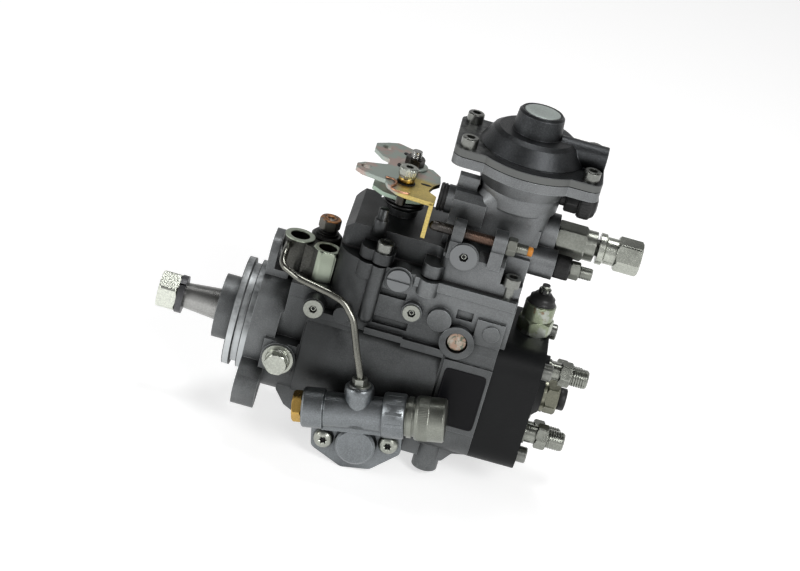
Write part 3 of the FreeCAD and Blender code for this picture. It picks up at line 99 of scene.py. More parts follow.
# Middle of the nameplate on its panel, and its half width and height
NAMEPLATE = (132.3, -41.5, 2.2)
NAMEPLATE_HALF = (12.9, 18.9)

# Delivery outlets: angles and radius of their circle, height of its middle, x of the upper and
# the lower seats, and where the thread starts and ends from the seat
OUTLET_ANGLES = (20.0, 110.0, 200.0, 290.0)
OUTLET_CIRCLE, OUTLET_HEIGHT = 28.5, -5.0
OUTLET_SEATS = (180.0, 176.0)
OUTLET_THREAD = (15.2, 24.6)

# The timing covers and all on them lean about their middle, in metres; the far one is mirrored
LEAN = Matrix.Translation((0.08, 0, -0.042)) @ Matrix.Rotation(math.radians(-11), 4, "Y")
MIRROR = Matrix.Diagonal((1, -1, 1, 1))

# Timing cover screws: seat of the heads from the middle plane, and places before the lean
SCREW_SEAT, SCREW_REACH, SCREW_HEIGHT = 46.5, 19.7, 1.5
SCREW_HEAD = ((0.02, 0), (0.02, 6.2), (1.2, 6.15), (3.2, 5.5), (4.1, 4.4), (4.52, 3.3),
              (4.5, 2.25), (3.0, 2.2), (3.0, 0))
# Dark floor of painted shade in each lobed recess: rows of place and radius
SCREW_SHADE_FLOOR = ((3.02, 0), (3.02, 2.15), (3.2, 2.15), (3.2, 0))

# Path of the copper hook in front of the lever: x, y and z
HOOK = ((55.4, -18.6, 118.9), (57.6, -19.4, 119.2), (60.6, -20.2, 119.4), (62.6, -23.4, 119.4),
        (62.2, -27.4, 119.3), (60.2, -30.6, 119.2), (60.6, -33.6, 119.1), (63.8, -35.4, 119.0),
        (68.0, -35.2, 118.9), (71.6, -34.0, 118.8))

# Slots of the control lever, laid as thin dark ovals of painted shade: x, y and half lengths along
# x and y
LEVER_SLOTS = ((79.5, -13.5, 3.4, 1.3), (61.0, 6.0, 1.4, 3.0), (63.0, 26.0, 1.5, 2.2))

# Hollow plugs, each with a dark disc of painted shade and a ring of painted highlight in its hole:
# name, face from the middle plane, radius of the hole, x and z
SOCKETS = (("ring", 45.2, 2.4, (34.7, 36.0)), ("side", 43.7, 2.4, (91.2, 49.8)),
           ("pivot", 39.5, 2.66, (111.7, 91.5)))

# Blend from the cover's box to the bowl: heights, then middle, half sides and power of each end
BLEND_HEIGHTS = (97.0, 131.0)
BLEND_MIDDLE = ((124.6, 1.0), BOWL)
BLEND_HALF = ((28.2, 19.8), (22.6, 22.6))
BLEND_POWER = (7.0, 2.0)
BLEND_FLARE, FLARE_FROM = 5.5, 0.6


# ---------------------------------------------------------------- node helpers
class Shader:
    """Small helper that adds nodes to one material and links them."""

    def __init__(self, name):
        self.material = bpy.data.materials.new(name)
        self.material.use_nodes = True
        self.tree = self.material.node_tree
        self.nodes = self.tree.nodes
        self.surface = self.nodes["Principled BSDF"]
        self.place = self.add("ShaderNodeTexCoord").outputs["Object"]

    def add(self, kind, **values):
        node = self.nodes.new(kind)
        for name, value in values.items():
            if hasattr(node, name):
                setattr(node, name, value)
            else:
                self.feed(node.inputs[name.replace("_", " ")], value)
        return node

    def feed(self, socket, value):
        if isinstance(value, bpy.types.NodeSocket):
            self.tree.links.new(value, socket)
        else:
            socket.default_value = value

    def set(self, **values):
        for name, value in values.items():
            self.feed(self.surface.inputs[name.replace("_", " ")], value)

    def noise(self, scale, detail=3.0, rough=0.55):
        return self.add("ShaderNodeTexNoise", Vector=self.place, Scale=scale, Detail=detail,
                        Roughness=rough).outputs["Fac"]

    def ramp(self, factor, low, high, out_low=0.0, out_high=1.0):
        node = self.add("ShaderNodeMapRange")
        node.clamp = True
        for name, value in (("Value", factor), ("From Min", low), ("From Max", high),
                            ("To Min", out_low), ("To Max", out_high)):
            self.feed(node.inputs[name], value)
        return node.outputs["Result"]

    def math(self, operation, first, second=0.0):
        node = self.add("ShaderNodeMath", operation=operation)
        self.feed(node.inputs[0], first)
        self.feed(node.inputs[1], second)
        return node.outputs[0]

    def mix(self, factor, first, second):
        node = self.add("ShaderNodeMix", data_type="RGBA")
        for socket, value in zip((node.inputs[0], node.inputs[6], node.inputs[7]),
                                 (factor, first, second)):
            self.feed(socket, value)
        return node.outputs[2]

    def along(self, place, start, end, low=0.0, high=1.0):
        """A share that goes from low to high between two places in millimetres."""
        return self.ramp(place, start * MM, end * MM, low, high)

    def both(self, share, *others):
        """Product of shares: 1 only where each of them is."""
        for other in others:
            share = self.math("MULTIPLY", share, other)
        return share

    def either(self, share, *others):
        """Largest of the shares."""
        for other in others:
            share = self.math("MAXIMUM", share, other)
        return share

    def axes(self):
        return self.add("ShaderNodeSeparateXYZ", Vector=self.place).outputs[:3]

    def bump(self, height, depth, normal):
        return self.add("ShaderNodeBump", Height=height, Distance=depth, Strength=1.0,
                        Normal=normal).outputs["Normal"]

    def colour(self):
        """The socket that feeds the base colour."""
        return self.surface.inputs["Base Color"].links[0].from_socket

    def over(self, share, colour):
        """Lay a further colour over the one so far, by a share from 0 to 1."""
        self.set(Base_Color=self.mix(share, self.colour(), colour))


def tone(colour, factor=1.0):
    return tuple(min(1.0, c * factor) for c in colour[:3]) + (1.0,)


def edges(shader, radius):
    """The rounded normal near sharp edges, and how far it departs from the face's own."""
    soft = shader.add("ShaderNodeBevel", Radius=radius, samples=4).outputs["Normal"]
    flat = shader.add("ShaderNodeNewGeometry").outputs["Normal"]
    dot = shader.add("ShaderNodeVectorMath", operation="DOT_PRODUCT")
    shader.feed(dot.inputs[0], soft)
    shader.feed(dot.inputs[1], flat)
    return soft, shader.ramp(dot.outputs["Value"], 0.995, 0.86)


def crevices(shader, reach):
    """1 in the open and towards 0 where walls stand close together."""
    return shader.add("ShaderNodeAmbientOcclusion", Distance=reach, samples=6).outputs["AO"]


def metal(name, colour, rough=0.4, grain=900.0, depth=0.04, vary=0.12, edge=1.3, edge_radius=0.35,
          crevice_shade=0.55):
    """A metal with slow blotches of tone, fine grain, brighter edges (wear, and on the castings
    also a painted highlight) and painted shade in its corners.
    """
    s = Shader(name)
    soft, worn = edges(s, edge_radius * MM)
    blotches = s.noise(60.0, 4.0)
    fine = s.noise(grain, 5.0, 0.68)
    body = s.mix(s.ramp(blotches, 0.3, 0.7), tone(colour, 1 - vary), tone(colour, 1 + vary))
    speck = s.mix(s.ramp(fine, 0.42, 0.72, 0.0, 0.7), body, tone(colour, 1 + 3.5 * vary))
    # Painted shade: ambient occlusion scales the colour down in corners and recesses
    unshaded_share = s.ramp(crevices(s, 7 * MM), 0.15, 0.85, crevice_shade, 1.0)
    shade = s.add("ShaderNodeVectorMath", operation="SCALE")
    # Edges are lifted towards edge times the colour: wear, and on the castings, whose factor is
    # high, also a painted highlight
    s.feed(shade.inputs[0], s.mix(worn, speck, tone(colour, edge)))
    s.feed(shade.inputs["Scale"], unshaded_share)
    s.set(Base_Color=shade.outputs[0], Metallic=1.0,
          Roughness=s.ramp(blotches, 0.25, 0.75, rough - 0.06, rough + 0.08),
          Normal=s.bump(fine, depth * MM, soft))
    return s


def paint(name, colour, rough, grain=500.0, depth=0.05, vary=0.2, edge=1.8, sheen=0.4):
    """Paint, plastic or rubber with a fine texture and rubbed edges."""
    s = Shader(name)
    soft, worn = edges(s, 0.4 * MM)
    fine = s.noise(grain, 4.0, 0.6)
    slow = s.noise(45.0, 3.0)
    body = s.mix(s.ramp(slow, 0.3, 0.7), tone(colour, 1 - vary), tone(colour, 1 + vary))
    s.set(Base_Color=s.mix(worn, body, tone(colour, edge)), Metallic=0.0, Specular_IOR_Level=sheen,
          Roughness=s.ramp(slow, 0.2, 0.8, rough - 0.08, rough + 0.08),
          Normal=s.bump(fine, depth * MM, soft))
    return s


# ---------------------------------------------------------------- sizes and colours
def colour_size(name, note, value):
    return bpy.props.FloatVectorProperty(name=name, description=note, subtype="COLOR", size=3,
                                         min=0.0, max=1.0, default=value)


def length_size(name, note, value):
    return bpy.props.FloatProperty(name=name, description=note, subtype="DISTANCE", unit="LENGTH",
                                   min=0.0, default=value * MM, precision=5)


def count_size(name, note, value):
    return bpy.props.IntProperty(name=name, description=note, min=1, default=value)


class PumpColours(bpy.types.PropertyGroup):
    """Main colours of the finishes."""
    cast: colour_size("Casting", "Blasted aluminium casting", (0.072, 0.075, 0.076))
    cover: colour_size("Cover", "Governor cover casting", (0.052, 0.054, 0.055))
    steel: colour_size("Steel", "Ground steel", (0.34, 0.34, 0.33))
    zinc: colour_size("Zinc", "Green-grey zinc plating", (0.27, 0.28, 0.25))
    yellow: colour_size("Yellow zinc", "Yellow chromate plating", (0.53, 0.42, 0.15))
    brass: colour_size("Brass", "Turned brass", (0.50, 0.32, 0.09))
    head: colour_size("Head", "Black distributor head", (0.006, 0.0065, 0.007))
    seal: colour_size("Seal cap", "Cap on the stop screw", (0.66, 0.25, 0.03))


class PumpSizes(bpy.types.PropertyGroup):
    """Sizes of the pieces made here."""
    wire: length_size("Spring wire", "Radius of the return spring's wire", 1.15)
    coils: count_size("Spring coils", "Turns of the return spring", 4)
    pitch: length_size("Outlet pitch", "Thread pitch of the delivery outlets", 1.5)
    fine_pitch: length_size("Screw pitch", "Thread pitch of the adjusting screws", 1.0)
    ridge: length_size("Thread depth", "Height of the thread ridges", 0.45)
    knurl: count_size("Knurl teeth", "Teeth round the full-load sleeve", 44)
    plate: length_size("Nameplate", "Thickness of the bare nameplate", 0.5)


# ---------------------------------------------------------------- finishes
def look():
    return bpy.context.scene.pump_colours


def plated(name, colour, rough):
    """Zinc or chromate plating over steel."""
    return metal(name, colour, rough, vary=0.15, crevice_shade=0.35)


def split_finish(name, low, high, level):
    """One metal below a height and another above it."""
    fade = 0.3
    s = metal(name, low, 0.36)
    s.over(s.along(s.axes()[2], level - fade, level + fade), tone(high))
    return s


def cast_metal(name, dark, lightest, rough=0.44):
    """Blasted casting: its tone goes from dark to the third argument times that, by a share of
    painted light that the caller feeds into the second value returned, with random tone added to
    it."""
    # The low factor 0.06 paints deep shade into the recesses; edge=2.5 lifts the edges as wear and
    # painted highlight
    s = metal(name, dark, rough, grain=1300.0, depth=0.09, vary=0.15, edge=2.5, edge_radius=0.5,
              crevice_shade=0.06)
    share = s.add("ShaderNodeMath", operation="ADD", use_clamp=True)
    s.feed(share.inputs[1], s.ramp(s.noise(55.0, 5.0), 0.35, 0.65, -0.12, 0.12))
    gain = s.math("ADD", s.math("MULTIPLY", share.outputs[0], lightest - 1), 1.0)
    scale = s.add("ShaderNodeVectorMath", operation="SCALE")
    s.feed(scale.inputs[0], s.colour())
    s.feed(scale.inputs["Scale"], gain)
    s.set(Base_Color=scale.outputs[0])
    return s, share.inputs[0]


def cast_housing():
    """Casting with painted light: lighter on the deck, the flange, the belly and the panel, and a
    painted shadow beside the flange, below the tube. The pilot is turned bright, with three dark
    lines round it and a painted dark reflection on its upper half."""
    base = tuple(look().cast)
    s, share = cast_metal("cast_housing", base, 2.3, 0.46)
    x, y, z = s.axes()
    # Painted light: the deck, the flange, the belly and the panel are made lighter where light
    # falls
    deck = s.both(s.along(z, 38, 58), s.along(x, 62, 96))
    flange = s.along(x, 24, 4, 0.0, 0.8)
    belly = s.along(z, -28, -50, 0.0, 0.75)
    panel = s.both(s.along(x, 112, 122), s.along(z, 50, 20, 0.0, 0.3))
    s.feed(share, s.either(deck, flange, belly, panel))
    turned = tone(base, 9.0)
    for line in PILOT_LINES:
        distance = s.math("ABSOLUTE", s.math("SUBTRACT", x, line * MM))
        turned = s.mix(s.along(distance, 0.25, 0.5), tone(base, 0.3), turned)
    # The pilot's upper half is darkened as a painted reflection, mottled by noise
    painted_reflection = s.both(s.ramp(s.noise(110.0, 3.0), 0.3, 0.6, 0.4, 1.0), s.along(z, -2, 8, 0.1, 0.8))
    pilot = s.both(s.along(x, -12.95, -12.75), s.along(x, -0.1, 0.1, 1.0, 0.0))
    # Painted shadow on the housing between the flange and the belly, under the tube
    painted_shadow = s.both(s.along(x, 26, 32), s.along(x, 62, 44), s.along(z, -24, -6, 0.0, 0.75))
    s.over(painted_shadow, tone(base, 0.55))
    s.over(pilot, s.mix(painted_reflection, turned, tone(base, 1.6)))
    return s.material


def cast_cover():
    """Casting, darker at the left under the lever, and lighter towards the bowl and on top as
    painted light.
    """
    s, share = cast_metal("cast_cover", tuple(look().cover), 3.4)
    x, y, z = s.axes()
    # Painted light: lighter towards the bowl and on top, fading out left of x 92 mm
    lit_share = s.either(s.along(x, 84, 118, 0.1, 0.85), s.along(z, 108, 120))
    s.feed(share, s.both(lit_share, s.along(x, 80, 92)))
    return s.material


def cast_timing():
    """Bright blasted casting of the two timing covers."""
    base = tone(look().cover, 3.7)
    return metal("cast_timing", (0.97 * base[0], base[1], 1.02 * base[2]), 0.34, grain=1100.0,
                 depth=0.09, vary=0.17, edge=2.3, edge_radius=0.5, crevice_shade=0.2).material


def boost_finish():
    """Dark dome; the rim of its flange and the flange's left side are worn to the pale casting."""
    s = metal("dark_cast", (0.042, 0.044, 0.046), 0.40, grain=1000.0, depth=0.14, vary=0.2,
              edge=4.5, edge_radius=0.5, crevice_shade=0.3)
    x, y, z = s.axes()
    rim = s.along(z, 151.9, 151.4)
    left = s.both(s.along(x, 116, 107), s.along(z, 153.2, 152.8))
    worn = s.either(rim, s.both(left, s.ramp(s.noise(200.0, 4.0), 0.4, 0.6)))
    s.over(worn, (0.14, 0.144, 0.14, 1))
    s.over(s.along(z, 147.6, 147.4), (0.004, 0.004, 0.004, 1))
    return s.material


def stop_finish():
    """Dark threaded screw, brown in the middle, with a plated nut."""
    s = metal("stop_steel", (0.065, 0.06, 0.056), 0.34, vary=0.2)
    x = s.axes()[0]
    s.over(s.both(s.along(x, 106, 114), s.along(x, 134, 126)), (0.13, 0.085, 0.065, 1))
    s.over(s.along(x, 133.8, 134.1), (0.22, 0.225, 0.2, 1))
    return s.material


def block_finish():
    """Dark plated block with a painted highlight on its top rim and one bright flat at the front.
    """
    s = metal("block_plating", (0.055, 0.055, 0.05), 0.3, vary=0.25, crevice_shade=0.25)
    x, y, z = s.axes()
    front = s.both(s.along(y, -22.4, -22.8), s.along(z, 44, 47))
    # The top rim's bright band is a painted highlight where light falls on the top
    s.over(s.either(front, s.along(z, 63.2, 63.5)), (0.42, 0.47, 0.38, 1))
    return s.material


def union_finish():
    """Dark threaded plug, grey hexagon with a rusty top."""
    s = split_finish("union_zinc", (0.05, 0.05, 0.047), (0.14, 0.135, 0.12), 65.5)
    rust = s.ramp(s.noise(300.0, 2.0), 0.35, 0.5)
    s.over(s.both(s.along(s.axes()[2], 71.6, 72.2), rust), (0.42, 0.19, 0.07, 1))
    return s.material


def lever_finish():
    """Chromate plating: yellow in front, pale grey with pink and green tints on the arms."""
    s = plated("lever_plating", tuple(look().yellow), 0.44)
    yellow = s.colour()
    x, y, z = s.axes()
    tint = s.mix(s.ramp(s.noise(90.0, 2.0), 0.5, 0.62), (0.38, 0.43, 0.39, 1),
                 (0.48, 0.38, 0.34, 1))
    loose = s.math("MULTIPLY", s.noise(70.0, 2.0), 8 * MM)
    front = s.both(s.along(s.math("ADD", y, loose), 0, -6),
                   s.along(s.math("ADD", x, loose), 66, 72))
    green = s.both(s.along(z, 107.6, 107.4), s.along(x, 82, 81.5))
    arms = s.mix(green, tint, (0.36, 0.45, 0.37, 1))
    s.set(Base_Color=s.mix(s.both(front, s.math("SUBTRACT", 1.0, green)), arms, yellow))
    return s.material


def clamp_finish():
    """Bright plated clamp screw, dark nut and shank."""
    s = plated("clamp_zinc", tone(look().zinc, 1.4), 0.28)
    x, y, z = s.axes()
    s.over(s.either(s.along(y, -6, -5), s.along(z, 118.7, 118.4)), (0.05, 0.047, 0.042, 1))
    return s.material


def mottled(name, first, second, third, rough, fine=1.0, low=0.5):
    """Plating with patches of a second colour and spots of a third, the finer the higher fine is
    and the more the lower low is."""
    s = plated(name, first, rough)
    s.over(s.ramp(s.noise(160.0 * fine, 4.0), low, low + 0.12), tone(second))
    s.over(s.ramp(s.noise(260.0 * fine, 3.0), low + 0.12, low + 0.2, 0.0, 0.8), tone(third))
    return s.material


def zinc(name, factor, rough=0.3):
    return plated(name, tone(look().zinc, factor), rough).material


def black(name, level=0.012, rough=0.45):
    return paint(name, (level, level, level), rough).material


FINISHES = {
    "pump_housing": cast_housing,
    "governor_cover": cast_cover,
    "timing_cover": cast_timing,
    "timing_cover_rear": "timing_cover",
    "timing_cover_screws": lambda: zinc("zinc_screw", 1.25),
    "brass_plug": lambda: metal("brass", tuple(look().brass), 0.28, edge=1.2).material,
    "pressure_pipe": lambda: metal("plated_pipe", (0.17, 0.17, 0.15), 0.24, vary=0.15).material,
    "pipe_fittings": lambda: split_finish("fitting", (0.13, 0.135, 0.135), (0.30, 0.31, 0.28),
                                          2.9).material,
    "cold_start_cap": lambda: metal("turned_cap", (0.25, 0.26, 0.23), 0.34, grain=1500.0).material,
    "inlet_block": block_finish,
    "inlet_union": union_finish,
    "lock_screw": lambda: zinc("bright_zinc", 1.45, 0.25),
    "side_plugs": lambda: split_finish("plug_zinc", tuple(look().zinc), tone(look().cover, 3.6),
                                       58.0).material,
    "tamper_cap": lambda: mottled("cap_disc", (0.36, 0.33, 0.28), (0.36, 0.25, 0.19),
                                  (0.06, 0.11, 0.08), 0.42, 1.6, 0.4),
    "distributor_head": lambda: paint("head_black", tuple(look().head), 0.5, grain=700.0,
                                      depth=0.09, edge=3.0, sheen=0.2).material,
    "delivery_holders": lambda: zinc("holder_zinc", 0.95, 0.26),
    "central_plug": lambda: metal("plug_yellow", (0.21, 0.21, 0.165), 0.3, vary=0.15).material,
    "shutoff_solenoid": lambda: mottled("solenoid_zinc", (0.24, 0.27, 0.19), (0.40, 0.42, 0.38),
                                        (0.20, 0.12, 0.07), 0.34),
    "solenoid_terminal": lambda: black("black_rubber"),
    "cover_gasket": "solenoid_terminal",
    "boost_cover": boost_finish,
    "socket_screws": lambda: metal("screw_steel", (0.21, 0.215, 0.2), 0.3).material,
    "overflow_valve": lambda: zinc("valve_zinc", 0.9),
    "overflow_nut": lambda: zinc("nut_zinc", 1.5, 0.25),
    "full_load_screw": lambda: zinc("screw_zinc", 0.75),
    "full_load_sleeve": lambda: metal("black_knurl", (0.035, 0.035, 0.035), 0.36).material,
    "stop_screw": stop_finish,
    "breather_elbow": "solenoid_terminal",
    "spring_plug": "solenoid_terminal",
    "drive_shaft": lambda: metal("ground_steel", tuple(look().steel), 0.28).material,
    "shaft_nut": lambda: zinc("nut_green", 2.3, 0.24),
    "spring_washer": lambda: metal("spring_steel", (0.10, 0.10, 0.105), 0.4).material,
    "control_shaft": "drive_shaft",
    "control_lever": lever_finish,
    "lever_fasteners": clamp_finish,
    "return_spring": lambda: metal("black_spring", (0.03, 0.03, 0.03), 0.33).material,
}
MADE = {}


def finish_for(node):
    """The material of a node, made once; the inner pieces share one ground steel."""
    entry = FINISHES.get(node, "drive_shaft")
    name = entry if isinstance(entry, str) else node
    if name not in MADE:
        MADE[name] = FINISHES[name]()
    return MADE[name]


# ---------------------------------------------------------------- surfaces
FRAMES = {"x": ((0, 1, 0), (0, 0, 1), (1, 0, 0)), "y": ((1, 0, 0), (0, 0, 1), (0, -1, 0)),
          "z": ((1, 0, 0), (0, 1, 0), (0, 0, 1))}


def add_piece(name, points, poles, node, body, finish=None, smooth=True):
    """A closed surface over rings: rows and columns of points, with a pole at each end or, when
    poles is None, rows that close on themselves."""
    rows, columns = points.shape[:2]
    spots = points.reshape(-1, 3)
    row = np.arange(rows if poles is None else rows - 1)
    column = np.arange(columns)
    r, c = [a.ravel() for a in np.meshgrid(row, column, indexing="ij")]
    after, beside = (r + 1) % rows, (c + 1) % columns
    faces = np.stack([r * columns + c, r * columns + beside, after * columns + beside,
                      after * columns + c], axis=1).tolist()
    if poles is not None:
        first, last = rows * columns, rows * columns + 1
        spots = np.vstack([spots, poles])
        turn = (column + 1) % columns
        end = (rows - 1) * columns
        faces += np.stack([turn, column, np.full(columns, first)], axis=1).tolist()
        faces += np.stack([end + column, end + turn, np.full(columns, last)], axis=1).tolist()
    mesh = bpy.data.meshes.new(name)
    mesh.from_pydata((spots * MM).tolist(), [], faces)
    mesh.polygons.foreach_set("use_smooth", np.full(len(mesh.polygons), smooth))
    mesh.update()
    mesh.validate()
    piece = bpy.data.objects.new(name, mesh)
    bpy.context.scene.collection.objects.link(piece)
    mesh.materials.append(finish or finish_for(node))
    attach(piece, body)
    return piece


def lathe(name, profile, axis, across, node, body, sides=48, closed=False, wave=None, finish=None):
    """Turned piece: p(s, t) = c + s a + r(s, t) (cos t u + sin t v), from (s, r) rows.

    wave(s, t) is added to the radius. A profile that starts and ends on the axis gets poles
    there, and a closed one runs back inside the piece that carries it."""
    u, v, along = [np.array(part, float) for part in FRAMES[axis]]
    profile = np.array(profile, float)
    rings = profile if closed else profile[1:-1]
    angle = np.linspace(0, 2 * math.pi, sides, endpoint=False)
    radius = np.repeat(rings[:, 1:2], sides, axis=1)
    if wave is not None:
        radius = radius + wave(rings[:, 0:1], angle[None, :])
    centre = across[0] * u + across[1] * v
    points = (centre + rings[:, 0, None, None] * along
              + radius[..., None] * (np.cos(angle)[None, :, None] * u
                                     + np.sin(angle)[None, :, None] * v))
    poles = None if closed else centre + profile[[0, -1], 0, None] * along
    return add_piece(name, points, poles, node, body, finish)


def thread(name, start, end, radius, ridge, pitch, axis, across, node, body, sides=28):
    """Screw thread on a rod: r = radius + ridge (1 - |2 frac((s - start) / pitch - t / 2 pi) - 1|).

    It fades out over half a pitch at both ends, and its inner side runs inside the rod."""
    s = np.linspace(start, end, int((end - start) / pitch * 8))
    outer = np.stack([s, np.full(len(s), radius + 0.03)], axis=1)
    inner = np.array([(end, radius - 0.4), (start, radius - 0.4)])

    def wave(place, angle):
        share = (place - start) / pitch - angle / (2 * math.pi)
        ridge_here = 1 - np.abs(2 * (share - np.floor(share)) - 1)
        fade = np.clip(np.minimum(place - start, end - place) / (0.5 * pitch), 0, 1)
        return ridge * ridge_here * fade

    return lathe(name, np.vstack([outer, inner]), axis, across, node, body, sides, True, wave)


def ribbed(name, ends, bevel, rows, radii, teeth, height, sides, across, node):
    """Ribs round a piece along x: r = outer + height f(s) cos(teeth t), where f fades to 0 at the
    ends. The radii are those of the inner side, of the edges and of the ribs."""
    inner, edge, outer = radii
    first, last = ends[0] + bevel, ends[1] - bevel

    def wave(place, angle):
        fade = np.clip(np.minimum(place - first - 0.2, last - 0.2 - place), 0, 1)
        return height * fade * np.cos(teeth * angle)

    profile = ([(ends[0], edge)] + [(row, outer) for row in np.linspace(first, last, rows)]
               + [(ends[1], edge), (ends[1], inner), (ends[0], inner)])
    return lathe(name, profile, "x", across, node, "housing", sides, True, wave)


def superellipse(angle, half_a, half_b, power):
    """Reach of |a / half_a|^power + |b / half_b|^power = 1 from its middle, at an angle."""
    return (np.abs(np.cos(angle) / half_a) ** power
            + np.abs(np.sin(angle) / half_b) ** power) ** (-1 / power)


def lobes(place, angle):
    """Six lobes on the last two rows of a profile, where a screw's recess is."""
    inner = (np.arange(len(place)) >= len(place) - 2)[:, None]
    return 0.4 * np.cos(6 * angle) * inner


def sweep(name, path, radius, node, body, sides=10, finish=None):
    """Round wire along a path: p(k, t) = path(k) + radius(k) (cos t n + sin t b), ends closed."""
    path = np.array(path, float)
    forward = np.gradient(path, axis=0)
    forward /= np.linalg.norm(forward, axis=1)[:, None]
    side = np.cross(forward, (0.02, 0.01, 1.0))
    side /= np.linalg.norm(side, axis=1)[:, None]
    upward = np.cross(side, forward)
    angle = np.linspace(0, 2 * math.pi, sides, endpoint=False)
    size = np.full(len(path), radius)
    size[[0, -1]] *= 0.6
    around = (np.cos(angle)[None, :, None] * upward[:, None]
              + np.sin(angle)[None, :, None] * side[:, None])
    points = path[:, None, :] + size[:, None, None] * around
    return add_piece(name, points, path[[0, -1]], node, body, finish)


def coil(centre, radius, low, high, turns, start=0.0):
    """Path of a spring: centre + radius (cos a, sin a), climbing evenly from low to high."""
    turn = np.linspace(0, turns, 40 * turns)
    angle = 2 * math.pi * turn + start
    return np.stack([centre[0] + radius * np.cos(angle), centre[1] + radius * np.sin(angle),
                     low + (high - low) * turn / turns], axis=1)


def heights(node):
    """Lowest and highest level of a node."""
    return [corner[2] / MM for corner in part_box(node)]


def outlets():
    """Seat and place of each delivery holder: (-sin, cos) of its angle on their circle."""
    angles = np.radians(OUTLET_ANGLES)
    across = np.stack([-OUTLET_CIRCLE * np.sin(angles),
                       OUTLET_CIRCLE * np.cos(angles) + OUTLET_HEIGHT], axis=1)
    return [(OUTLET_SEATS[0] if place[1] > 0 else OUTLET_SEATS[1], tuple(place))
            for place in across]


# ---------------------------------------------------------------- operators
class PUMP_OT_finishes(bpy.types.Operator):
    """Give every solid its finish"""
    bl_idname = "pump.finishes"
    bl_label = "Finishes"

    def execute(self, context):
        for node, obj in NODES.items():
            obj.data.materials.clear()
            obj.data.materials.append(finish_for(node))
        return {"FINISHED"}


class PUMP_OT_spring(bpy.types.Operator):
    """Wind the wires of the return spring, its hook and the boost spring"""
    bl_idname = "pump.spring"
    bl_label = "Springs"

    def execute(self, context):
        sizes = context.scene.pump_sizes
        wire, boost_wire = sizes.wire / MM, 0.7
        low, high = heights("return_spring")
        path = coil(CONTROL_SHAFT, 11.6, low + wire, high - wire - 0.15, sizes.coils, 2.6)
        piece = sweep("return_spring_wire", path, wire, "return_spring", "control")
        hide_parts("return_spring")
        low, high = heights("boost_spring")
        path = coil(BOWL, 10.2, low + boost_wire, high - boost_wire, 4)
        piece = sweep("boost_spring_wire", path, boost_wire, "boost_spring", "housing")
        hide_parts("boost_spring")
        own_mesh(piece)
        hook = np.array(HOOK)
        grid = np.linspace(0, len(hook) - 1, 40)
        path = np.stack([np.interp(grid, np.arange(len(hook)), column) for column in hook.T],
                        axis=1)
        path[1:-1] = (path[:-2] + path[1:-1] * 2 + path[2:]) / 4
        copper = metal("hook_copper", (0.50, 0.27, 0.17), 0.3).material
        sweep("spring_hook", path, wire * 0.6, "control_lever", "control", finish=copper)
        return {"FINISHED"}


class PUMP_OT_threads(bpy.types.Operator):
    """Cut the threads of outlets, screws and shaft end"""
    bl_idname = "pump.threads"
    bl_label = "Threads"

    def execute(self, context):
        sizes = context.scene.pump_sizes
        pitch, fine, ridge = sizes.pitch / MM, sizes.fine_pitch / MM, sizes.ridge / MM
        start, end = OUTLET_THREAD
        for number, (seat, across) in enumerate(outlets(), start=1):
            thread("outlet_thread_%d" % number, seat + start, seat + end, 5.6, ridge, pitch, "x",
                   across, "delivery_holders", "housing")
        thread("overflow_thread", 186.9, 188.0, 5.0, 0.2, 0.75, "x", OVERFLOW, "overflow_valve",
               "housing")
        thread("full_load_thread", 180.4, 187.6, 3.5, 0.3, fine, "x", FULL_LOAD,
               "full_load_screw", "housing")
        for name, start, end, radius, depth in (("1", 92.0, 101.2, 2.95, 0.4),
                                                ("2", 108.6, 125.8, 2.95, 0.4),
                                                ("end", 139.8, 146.2, 3.0, 0.3)):
            thread("stop_thread_" + name, start, end, radius, depth, fine, "x", STOP_SCREW,
                   "stop_screw", "housing", 20)
        thread("stud_thread", 122.4, 127.6, 3.0, 0.28, fine, "z", CONTROL_SHAFT, "control_shaft",
               "control", 20)
        return {"FINISHED"}


class PUMP_OT_caps(bpy.types.Operator):
    """Fit caps, seals and the knurled sleeve"""
    bl_idname = "pump.caps"
    bl_label = "Caps and seals"

    def execute(self, context):
        colours, teeth = context.scene.pump_colours, context.scene.pump_sizes.knurl
        orange = paint("seal_orange", tuple(colours.seal), 0.45).material
        disc = metal("turret_disc", (0.40, 0.44, 0.42), 0.5).material
        lathe("stop_seal", [(146.0, 0), (146.0, 2.0), (146.4, 2.8), (148.9, 2.9), (149.5, 2.4),
                            (149.7, 1.6), (149.7, 0)], "x", STOP_SCREW, "stop_screw", "housing",
              32, finish=orange)
        lathe("plug_cap", [(192.5, 0), (192.5, 6.6), (193.0, 7.0), (196.6, 7.0), (197.3, 6.4),
                           (197.3, 4.0), (197.0, 3.6), (197.0, 0)], "x", SHAFT,
              "solenoid_terminal", "housing")
        lathe("turret_ring", [(175.9, 0), (176.2, 12.0), (176.9, 11.9), (176.9, 11.2),
                              (176.3, 11.0), (176.3, 0)], "z", BOWL, "solenoid_terminal",
              "housing")
        lathe("turret_disc", [(175.9, 0), (176.0, 10.9), (176.8, 10.8), (176.95, 10.3),
                              (176.9, 5.0), (176.8, 0)], "z", BOWL, "boost_cover", "housing",
              finish=disc)
        lathe("union_plug", [(68.0, 0), (68.0, 3.9), (72.2, 3.9), (72.6, 3.4), (72.6, 2.2),
                             (71.2, 2.0), (71.2, 0)], "z", INLET_UNION, "inlet_union", "housing")

        def knurl(place, angle):
            fade = np.clip(np.minimum(place - 165.5, 174.1 - place), 0, 1)
            return 0.35 * fade * (np.abs(((angle * teeth / (2 * math.pi)) % 1) * 2 - 1) - 0.5)

        profile = ([(165.05, 3.7), (165.05, 6.6)]
                   + [(row, 7.1) for row in np.linspace(165.3, 174.3, 12)]
                   + [(174.55, 6.6), (174.55, 3.7)])
        sleeve = lathe("knurled_sleeve", profile, "x", FULL_LOAD, "full_load_sleeve", "housing",
                       teeth * 4, True, knurl)
        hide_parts("full_load_sleeve")
        return {"FINISHED"}


